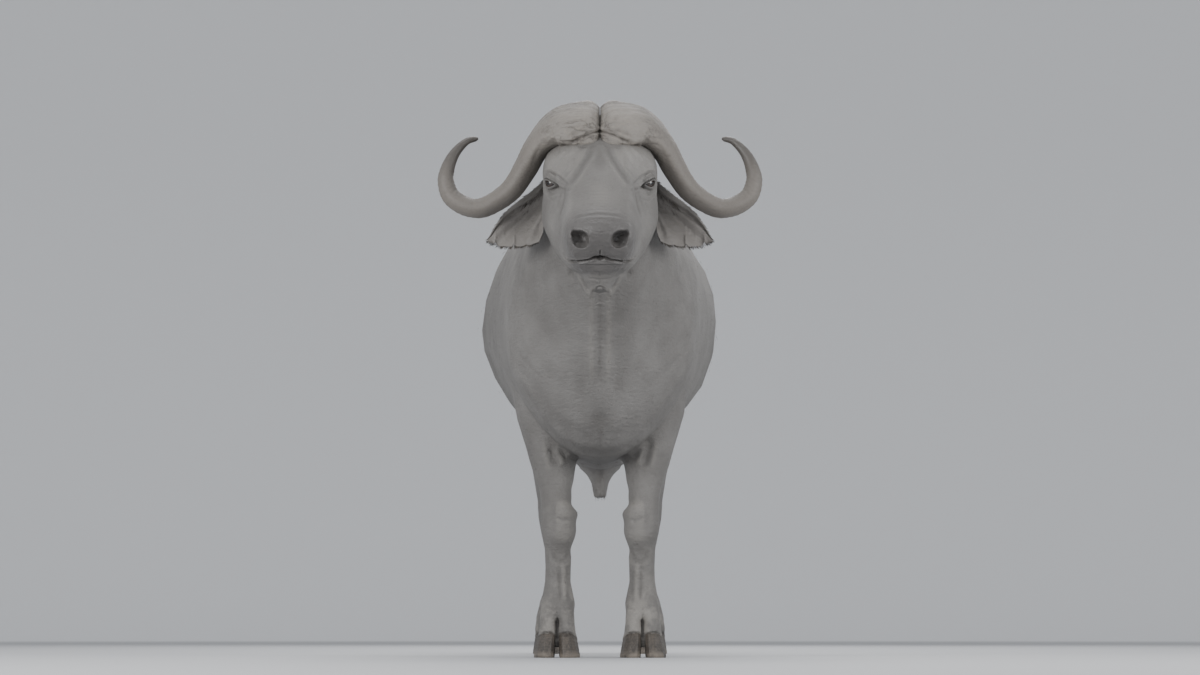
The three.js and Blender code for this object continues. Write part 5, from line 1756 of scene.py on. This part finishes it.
CHIN_HAIR = Growth(Coat.CHIN, chin_density, 90, (0.006, 0.014), (0.0005, 0.0008), (0.1, 0.4))
SHEATH_HAIR = Growth(Coat.SHEATH, sheath_density, 60, (0.012, 0.030), (0.0006, 0.0010), (0.1, 0.4))
BODY_HAIR = Growth(Coat.BODY, body_density, 12000, (0.008, 0.018), (0.0005, 0.0009), (0.05, 0.3))


@dataclass
class Coats:
    """Places the tufts of every kind of hair."""

    rng: np.random.Generator = field(default_factory=lambda: np.random.default_rng(SEED))
    tassel_count: int = 420
    fringe_count: int = 900
    # Where the tassel's hair begins: y and z, and the tail's radius there
    tassel_top: Pair = (1.337, 0.868)
    tail_radius: float = 0.0115
    # How far down the tail it grows, and the lowest that it hangs
    tassel_run: float = 0.11
    tassel_low: float = 0.585
    # How deep the tufts are rooted in the skin
    rooted: float = 0.002

    def tassel(self) -> bpy.types.Object:
        """The long dark hair that ends the tail."""
        tufts = []
        for _ in range(self.tassel_count):
            turn, share = self.rng.uniform(0, 2 * math.pi), self.rng.uniform(0, 1)
            ring = Vector((math.cos(turn), math.sin(turn), 0))
            z = self.tassel_top[1] - self.tassel_run * share
            root = Vector((0, self.tassel_top[0], z)) + ring * (self.tail_radius * (1 - 0.25 * share))
            way = (Vector((0, 0, -1)) + ring * self.rng.uniform(0.0, 0.10)).normalized()
            length = min(self.rng.uniform(0.12, 0.24), z - self.tassel_low)
            width, bend = self.rng.uniform(0.0011, 0.0019), self.rng.uniform(-0.16, 0.05)
            tufts.append(Tuft(root, way, ring, length, width, bend))
        return Hair(Coat.TASSEL, joints=6).build(tufts)

    def sampled(self, skin: bpy.types.Object, growth: Growth) -> tuple[np.ndarray, np.ndarray]:
        """Draws places on the skin.

        Args:
            skin: The skin.
            growth: The hair that grows there.

        Returns:
            The places and their normals.
        """
        faces = skin.data.polygons
        number = len(faces)
        middle, normal, area = np.zeros(number * 3), np.zeros(number * 3), np.zeros(number)
        faces.foreach_get("center", middle)
        faces.foreach_get("normal", normal)
        faces.foreach_get("area", area)
        middle, normal = middle.reshape(-1, 3), normal.reshape(-1, 3)
        weight = area * growth.density(middle, normal)
        drawn = self.rng.choice(number, growth.count, p=weight / weight.sum())
        jitter = self.rng.normal(0, 1, (growth.count, 3)) * np.sqrt(area[drawn])[:, None] * 0.4
        jitter -= normal[drawn] * (jitter * normal[drawn]).sum(1)[:, None]
        return middle[drawn] + jitter, normal[drawn]

    def on_skin(self, skin: bpy.types.Object, growth: Growth) -> bpy.types.Object:
        """Grows tufts on the skin along the lie of the coat.

        Args:
            skin: The skin.
            growth: The hair that grows there.

        Returns:
            The piece.
        """
        places, normals = self.sampled(skin, growth)
        tufts = []
        for place, normal in zip(places, normals):
            up = Vector(normal)
            lie = self.lie(place)
            lie = (lie - up * lie.dot(up)).normalized()
            lie = (lie + lie.cross(up) * self.rng.normal(0, 0.22)).normalized()
            way = (lie + up * self.rng.uniform(*growth.rise)).normalized()
            root = Vector(place) - up * self.rooted
            length, width = self.rng.uniform(*growth.length), self.rng.uniform(*growth.width)
            tufts.append(Tuft(root, way, up, length, width, self.rng.uniform(-0.12, 0.02)))
        return Hair(growth.kind, joints=2).build(tufts)

    @staticmethod
    def lie(place: np.ndarray) -> Vector:
        """Which way the coat lies at a place: down the face, back along the trunk and down the legs."""
        x, y, z = place
        if y < -0.83 and z > 1.0:
            return HEAD_AXIS + Vector((0.2 * math.copysign(1, x), 0.1, -0.1))
        if z < LEG_TOP:
            return Vector((0, 0.25, -1))
        down = 0.25 + 0.6 * min(1.0, abs(x) / 0.3)
        return Vector((0.1 * x, 1.0, -down))

    def fringe(self, ear: Ear) -> bpy.types.Object:
        """The hair along an ear's edges and inside its root."""
        tufts = []
        for number in range(self.fringe_count):
            inside = number % 3 == 0
            if inside:
                u, v = self.rng.uniform(0.12, 0.5), self.rng.uniform(-0.7, 0.75)
            else:
                u, v = self.rng.uniform(0.10, 1.0), -1.0 if self.rng.uniform() < 0.7 else 1.0
            at, near = ear.point(u, v * 0.985), ear.point(u, v * 0.8)
            ahead = (ear.point(min(1, u + 0.03), v) - ear.point(max(0, u - 0.03), v)).normalized()
            if inside:
                way = ahead + ear.facing * 0.35 + Vector((0, 0, -0.7))
                length = self.rng.uniform(0.010, 0.024)
            else:
                way = (at - near).normalized() * 0.6 + ahead * 0.6 + Vector((0, 0, -0.45))
                length = self.rng.uniform(0.005, 0.014)
            way = (way.normalized() + Vector(self.rng.normal(0, 0.14, 3))).normalized()
            width, bend = self.rng.uniform(0.0004, 0.0008), self.rng.uniform(-0.2, 0.1)
            tufts.append(Tuft(at - ear.facing * 0.001, way, ear.facing, length, width, bend))
        return Hair(Coat.EAR, f"_{side_name(ear.side)}").build(tufts)


@dataclass(frozen=True)
class HideFinish:
    """Bare dusty hide with sparse hair: grained and creased, with painted shade in its folds, a painted
    highlight on its ridges and a moist muzzle.
    """

    dark: Point = (0.082, 0.077, 0.072)
    grey: Point = (0.180, 0.174, 0.166)
    dust: Point = (0.270, 0.254, 0.230)
    muzzle: Point = (0.052, 0.048, 0.047)
    rough: float = 0.70

    def material(self) -> bpy.types.Material:
        """Makes the material."""
        tree = Tree("hide")
        broad = tree.noise(2.2, 4, 0.6)
        patches = tree.noise(7.5, 5, 0.62)
        fine = tree.noise(60, 4, 0.6)
        carved = tree.attribute("carved")
        # Painted shade in the carved creases and a painted highlight on the carved ridges
        fold_shade = (carved * -1.0).soft(0.0003, 0.0045)
        ridge_highlight = carved.soft(0.0004, 0.004)
        tone = tree.mixed((broad * 0.5 + patches * 0.5).soft(0.20, 0.80), self.dark, self.grey)
        up = tree.axis("Z", tree.node("ShaderNodeNewGeometry", output="Normal"))
        h = tree.along(HEAD_AXIS, POLL)
        n = tree.along(HEAD_UP, POLL)
        head = n.soft(-0.30, -0.22) * h.soft(0.04, 0.12)
        settled = (up * 0.55 + patches * 0.32 + fine * 0.22).soft(0.31, 1.01) * (1 - head * 0.6)
        tone = tree.mixed(settled * 0.62, tone, self.dust)
        # Painted shade on the flat of the forehead and nose, which faces up away from the light, so it reads
        # darker than the brows
        wide = tree.least((h - 0.125) * 0.49 + 0.021, 0.082)
        across = tree.size(tree.axis("X"))
        nose_plane_shade = (wide - across).soft(-0.006, 0.012) * h.soft(0.09, 0.13) * n.soft(-0.12, -0.07)
        tone = tree.mixed(nose_plane_shade * 0.42, tone, self.dark)
        height = tree.axis("Z")
        shank = 1 - height.soft(0.12, 0.62)
        tone = tree.mixed(shank * 0.45, tone, self.dark)
        mud = (1 - height.soft(0.06, 0.34)) * tree.noise(14, 5, 0.65).soft(0.42, 0.62)
        tone = tree.mixed(mud * 0.55, tone, self.dust)
        # Painted shade darkens the folds and a painted highlight lightens the ridges
        tone = tree.mixed(fold_shade * 0.50, tone, self.dark)
        tone = tree.mixed(ridge_highlight * 0.22, tone, self.dust)
        grain = tree.noise(420, 2, 0.5)
        tone = tree.mixed(grain.soft(0.35, 0.75) * 0.25, tone, self.dark)
        bare = (h + n * 0.25 + (patches - 0.5) * 0.05).soft(0.50, 0.59)
        lids = 1 - tree.least(*(tree.distance(Eye(side).centre) for side in SIDES)).soft(0.027, 0.044)
        tone = tree.mixed(lids * 0.45, tone, self.dark)
        # The chin is darker, partly for the beard's darker hair and partly as painted shade under the jaw;
        # the muzzle's tone is held back there too
        chin = h.soft(0.34, 0.42) * (n * -1.0).soft(0.080, 0.104) * (1 - (n * -1.0).soft(0.22, 0.26))
        tone = tree.mixed(bare * (0.6 - chin * 0.5), tone, self.muzzle)
        tone = tree.mixed(chin * 0.24, tone, self.dark)
        pebbles = tree.cells(330)
        wet_pebbles = tree.cells(210)
        coarse = tree.cells(95, "SMOOTH_F1")
        hair = tree.noise(1.0, 3, 0.6, tree.stretched((520, 60, 150), (0.35, 0, 0)))
        wrinkles = tree.noise(1.0, 3, 0.6, tree.stretched((38, 38, 120)))
        bump = tree.bump(wrinkles, 0.0035, strength=0.7)
        bump = tree.bump(coarse, 0.0022, bump, 0.55)
        bump = tree.bump(hair * (1 - bare), 0.0016, bump, 0.6)
        bump = tree.bump(tree.mixed(bare, pebbles, wet_pebbles), 0.0012, bump, 0.6)
        rough = self.rough + (fine - 0.5) * 0.16 - bare * 0.24 + settled * 0.1
        return tree.finish(base_color=tone, roughness=rough, normal=bump)


@dataclass(frozen=True)
class HornFinish:
    """Grey-brown horn: fibrous and weathered on the boss, ringed at the bend, dark and smooth at the tips,
    with painted shade in its carved grooves.
    """

    boss: Point = (0.188, 0.174, 0.156)
    shaft: Point = (0.132, 0.119, 0.105)
    tip: Point = (0.060, 0.054, 0.049)
    crack: Point = (0.050, 0.042, 0.036)
    worn: Point = (0.31, 0.275, 0.232)

    def material(self) -> bpy.types.Material:
        """Makes the material."""
        tree = Tree("horn")
        x = tree.size(tree.axis("X"))
        z = tree.axis("Z")
        boss = 1 - x.soft(0.10, 0.24)
        tip = z.soft(1.34, 1.47) * x.soft(0.30, 0.37)
        fibres = tree.noise(1.0, 6, 0.68, tree.stretched((22, 120, 74), (0.55, 0, 0)))
        splits = tree.noise(1.0, 3, 0.55, tree.stretched((9, 85, 50), (0.55, 0, 0.1)))
        blotch = tree.noise(9, 5, 0.65)
        pits = tree.noise(170, 4, 0.7)
        carved = tree.attribute("carved")
        # Painted shade in the carved grooves of the horn
        fold_shade = (carved * -1.0).soft(0.0004, 0.004)
        tone = tree.mixed(boss, self.shaft, self.boss)
        tone = tree.mixed((fibres * 0.55 + blotch * 0.45).soft(0.36, 0.62) * 0.6, tone, self.shaft)
        tone = tree.mixed(fibres.soft(0.52, 0.72) * 0.4 * boss, tone, self.worn)
        tone = tree.mixed(tip * 0.85, tone, self.tip)
        line = 1 - ((splits - 0.5) * 26) ** 2
        split = line.soft(0.0, 0.9) * (boss * 0.8 + 0.12) * blotch.soft(0.42, 0.6)
        tone = tree.mixed(split * 0.6, tone, self.crack)
        tone = tree.mixed(pits.soft(0.52, 0.72) * 0.3, tone, self.crack)
        # Painted shade darkens the carved grooves
        tone = tree.mixed(fold_shade * 0.7, tone, self.crack)
        tone = tree.mixed(carved.soft(0.0005, 0.006) * 0.12 * boss, tone, self.worn)
        bump = tree.bump(fibres, 0.0042, strength=0.65)
        bump = tree.bump(1 - split, 0.0020, bump, 0.8)
        bump = tree.bump(pits * (1 - tip), 0.0012, bump, 0.5)
        rough = 0.60 - tip * 0.24 + (pits - 0.5) * 0.14
        return tree.finish(base_color=tone, roughness=rough, normal=bump)


@dataclass(frozen=True)
class HoofFinish:
    """Dark hoof horn with level growth rings, upright fibres and dusty wear along the floor."""

    dark: Point = (0.030, 0.026, 0.023)
    light: Point = (0.088, 0.075, 0.062)
    dust: Point = (0.17, 0.145, 0.118)

    def material(self) -> bpy.types.Material:
        """Makes the material."""
        tree = Tree("hoof")
        z = tree.axis("Z")
        fibres = tree.noise(1.0, 4, 0.6, tree.stretched((260, 260, 22)))
        blotch = tree.noise(24, 4, 0.6)
        bands = ((z * 760 + blotch * 5).sine() * 0.5 + 0.5)
        tone = tree.mixed((fibres * 0.6 + blotch * 0.4).soft(0.35, 0.65), self.dark, self.light)
        tone = tree.mixed(bands * 0.22, tone, self.dark)
        wear = (1 - z.soft(0.003, 0.026)) * blotch.soft(0.36, 0.6)
        tone = tree.mixed(wear * 0.7, tone, self.dust)
        bump = tree.bump(bands, 0.0009, strength=0.5)
        bump = tree.bump(fibres, 0.0010, bump, 0.6)
        return tree.finish(base_color=tone, roughness=0.52 + wear * 0.2 + (fibres - 0.5) * 0.15, normal=bump)


@dataclass(frozen=True)
class EyeFinish:
    """A dark brown eye with a level pupil and a thin pale rim, wet all over."""

    side: int
    iris: Point = (0.026, 0.014, 0.009)
    pupil: Point = (0.003, 0.003, 0.004)
    white: Point = (0.022, 0.014, 0.011)

    def material(self) -> bpy.types.Material:
        """Makes the material."""
        eye = Eye(self.side)
        tree = Tree(f"eye_{side_name(self.side)}")
        a, b = tree.along(eye.along, eye.centre), tree.along(eye.up, eye.centre)
        edge = (a * a + b * b) ** 0.5
        streaks = tree.noise(420, 3, 0.6)
        tone = tree.mixed(streaks.soft(0.35, 0.7) * 0.5, self.iris, self.pupil)
        level = ((a * a) * 0.45 + (b * b) * 2.2) ** 0.5
        tone = tree.mixed(1 - level.soft(0.0052, 0.0062), tone, self.pupil)
        tone = tree.mixed(edge.soft(0.0118, 0.0145), tone, self.pupil)
        tone = tree.mixed(edge.soft(0.0152, 0.0190), tone, self.white)
        bump = tree.bump(streaks, 0.0002, strength=0.15)
        rough = 0.22 + streaks * 0.06
        return tree.finish(
            base_color=tone, roughness=rough, normal=bump, coat_weight=0.3, coat_roughness=0.08
        )


@dataclass(frozen=True)
class HairFinish:
    """Coarse dark hair with dusty ends."""

    name: str
    dark: Point = (0.022, 0.018, 0.015)
    light: Point = (0.085, 0.068, 0.052)

    def material(self) -> bpy.types.Material:
        """Makes the material."""
        tree = Tree(self.name)
        tone = tree.mixed(tree.noise(48, 4, 0.65).soft(0.36, 0.66), self.dark, self.light)
        tone = tree.mixed(tree.noise(5, 3, 0.5).soft(0.4, 0.6) * 0.5, tone, self.dark)
        strands = tree.noise(900, 2, 0.5)
        bump = tree.bump(strands, 0.0004, strength=0.4)
        return tree.finish(base_color=tone, roughness=0.5 + strands * 0.14, normal=bump)


@dataclass(frozen=True)
class SoftBox:
    """One square soft light: its name, place, side and power in watts, and what it points at."""

    name: str
    place: Point
    size: float
    power: float
    aim: Point = (0, -0.6, 1.0)

    def build(self) -> None:
        """Adds the light to the scene."""
        data = bpy.data.lights.new(self.name, "AREA")
        data.size = self.size
        data.energy = self.power
        lamp = bpy.data.objects.new(self.name, data)
        lamp.location = self.place
        way = Vector(self.aim) - Vector(self.place)
        lamp.rotation_euler = way.to_track_quat("-Z", "Y").to_euler()
        bpy.context.scene.collection.objects.link(lamp)


@dataclass
class Studio:
    """A pale round floor that curves up into a wall on every side, and soft light from both sides."""

    radius: float = 20.0
    bend: float = 5.0
    high: float = 8.5
    tone: Point = (0.44, 0.445, 0.455)
    shade: Point = (0.37, 0.375, 0.385)
    wall: Point = (0.80, 0.805, 0.81)
    glow: Point = (0.80, 0.82, 0.86)
    glow_strength: float = 0.78
    boxes: Sequence[SoftBox] = (
        SoftBox("left_box", (-4.4, -4.6, 1.9), 2.4, 280),
        SoftBox("right_box", (4.8, -3.4, 1.8), 2.6, 240),
        SoftBox("front_box", (-1.2, -8.0, 2.4), 2.6, 110),
        SoftBox("top_box", (0, 0.2, 5.6), 4.0, 130, (0, 0, 1.2)),
        SoftBox("rear_box", (0.5, 5.2, 4.2), 3.0, 190, (0, 0, 1.2)),
    )

    def profile(self, run: float) -> Pair:
        """How far out and how high the sheet lies at a way from its middle."""
        flat, arc = self.radius - self.bend, self.bend * math.pi / 2
        if run <= flat:
            return run, 0.0
        if run <= flat + arc:
            turn = (run - flat) / self.bend
            return flat + self.bend * math.sin(turn), self.bend * (1 - math.cos(turn))
        return self.radius, self.bend + run - flat - arc

    def backdrop(self) -> bpy.types.Object:
        """The floor and wall, one bent sheet."""
        bm = bmesh.new()
        bmesh.ops.create_grid(bm, x_segments=96, y_segments=60, size=1.0)
        total = self.radius - self.bend + self.bend * math.pi / 2 + self.high - self.bend
        for vert in bm.verts:
            turn = (vert.co.x + 1) * math.pi
            out, up = self.profile((vert.co.y + 1) / 2 * total)
            vert.co = (out * math.cos(turn), out * math.sin(turn), up)
        bmesh.ops.remove_doubles(bm, verts=bm.verts, dist=1e-4)
        bmesh.ops.recalc_face_normals(bm, faces=bm.faces)
        return new_piece("studio_sheet", bm)

    def build(self) -> None:
        """Makes the sheet, the lights and the room's own glow."""
        sheet = self.backdrop()
        tree = Tree("studio")
        speck = tree.noise(40, 3, 0.5)
        x, y = tree.axis("X"), tree.axis("Y")
        wall = ((x * x + y * y) ** 0.5).soft(9.0, 15.0)
        tone = tree.mixed(wall, tree.mixed(speck * 0.12, self.tone, self.shade), self.wall)
        sheet.data.materials.append(tree.finish(base_color=tone, roughness=0.85))
        sheet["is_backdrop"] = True
        for box in self.boxes:
            box.build()
        world = bpy.data.worlds.new("room")
        world.use_nodes = True
        glow = world.node_tree.nodes["Background"]
        glow.inputs["Color"].default_value = (*self.glow, 1)
        glow.inputs["Strength"].default_value = self.glow_strength
        bpy.context.scene.world = world


def corners() -> list[list[float]]:
    """The whole object's lowest and highest corners as plain numbers."""
    return [[float(c) for c in corner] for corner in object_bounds()]


def main() -> None:
    """Builds the bull, its hair and the studio."""
    logging.basicConfig(level=logging.INFO, format="%(name)s: %(message)s")
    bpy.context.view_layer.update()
    VIEW.build()
    Studio().build()
    eyes = [Eye(side) for side in SIDES]
    skin = Skin().build(eyes, [Nostril(side) for side in SIDES])
    dress(skin, HideFinish().material(), FLESH)
    horn = HornFinish().material()
    coats = Coats()
    hair = HairFinish("dark_hair").material()
    short = HairFinish("body_hair", (0.050, 0.045, 0.040), (0.145, 0.130, 0.114)).material()
    # A lighter copy of the hide for the ears: painted light on the insides of the ears, which sit in shade
    inner = HideFinish((0.115, 0.106, 0.098), (0.225, 0.212, 0.197)).material()
    for eye in eyes:
        side = side_name(eye.side)
        dress(eye.build(), EyeFinish(eye.side).material(), [f"eye_{side}"])
        dress(Horn(eye.side).build(), horn, [f"horn_{side}"])
        ear = Ear(eye.side)
        dress(ear.build(), inner, [f"ear_{side}"])
        dress(coats.fringe(ear), hair)
    hoof = HoofFinish().material()
    for name in FEET:
        dress(Claw(name).build(), hoof, [name])
    dress(coats.tassel(), hair, ["tail_tassel"])
    for growth, material in ((CHIN_HAIR, short), (SHEATH_HAIR, hair), (BODY_HAIR, short)):
        dress(coats.on_skin(skin, growth), material)
    bpy.context.view_layer.update()


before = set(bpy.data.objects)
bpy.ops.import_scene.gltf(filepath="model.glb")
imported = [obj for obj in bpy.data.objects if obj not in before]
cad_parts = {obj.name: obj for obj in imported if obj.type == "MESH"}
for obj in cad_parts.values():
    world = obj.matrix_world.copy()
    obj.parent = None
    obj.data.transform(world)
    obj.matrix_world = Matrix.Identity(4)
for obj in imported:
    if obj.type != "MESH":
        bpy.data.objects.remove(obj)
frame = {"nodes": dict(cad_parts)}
if __name__ == "__main__":
    main()
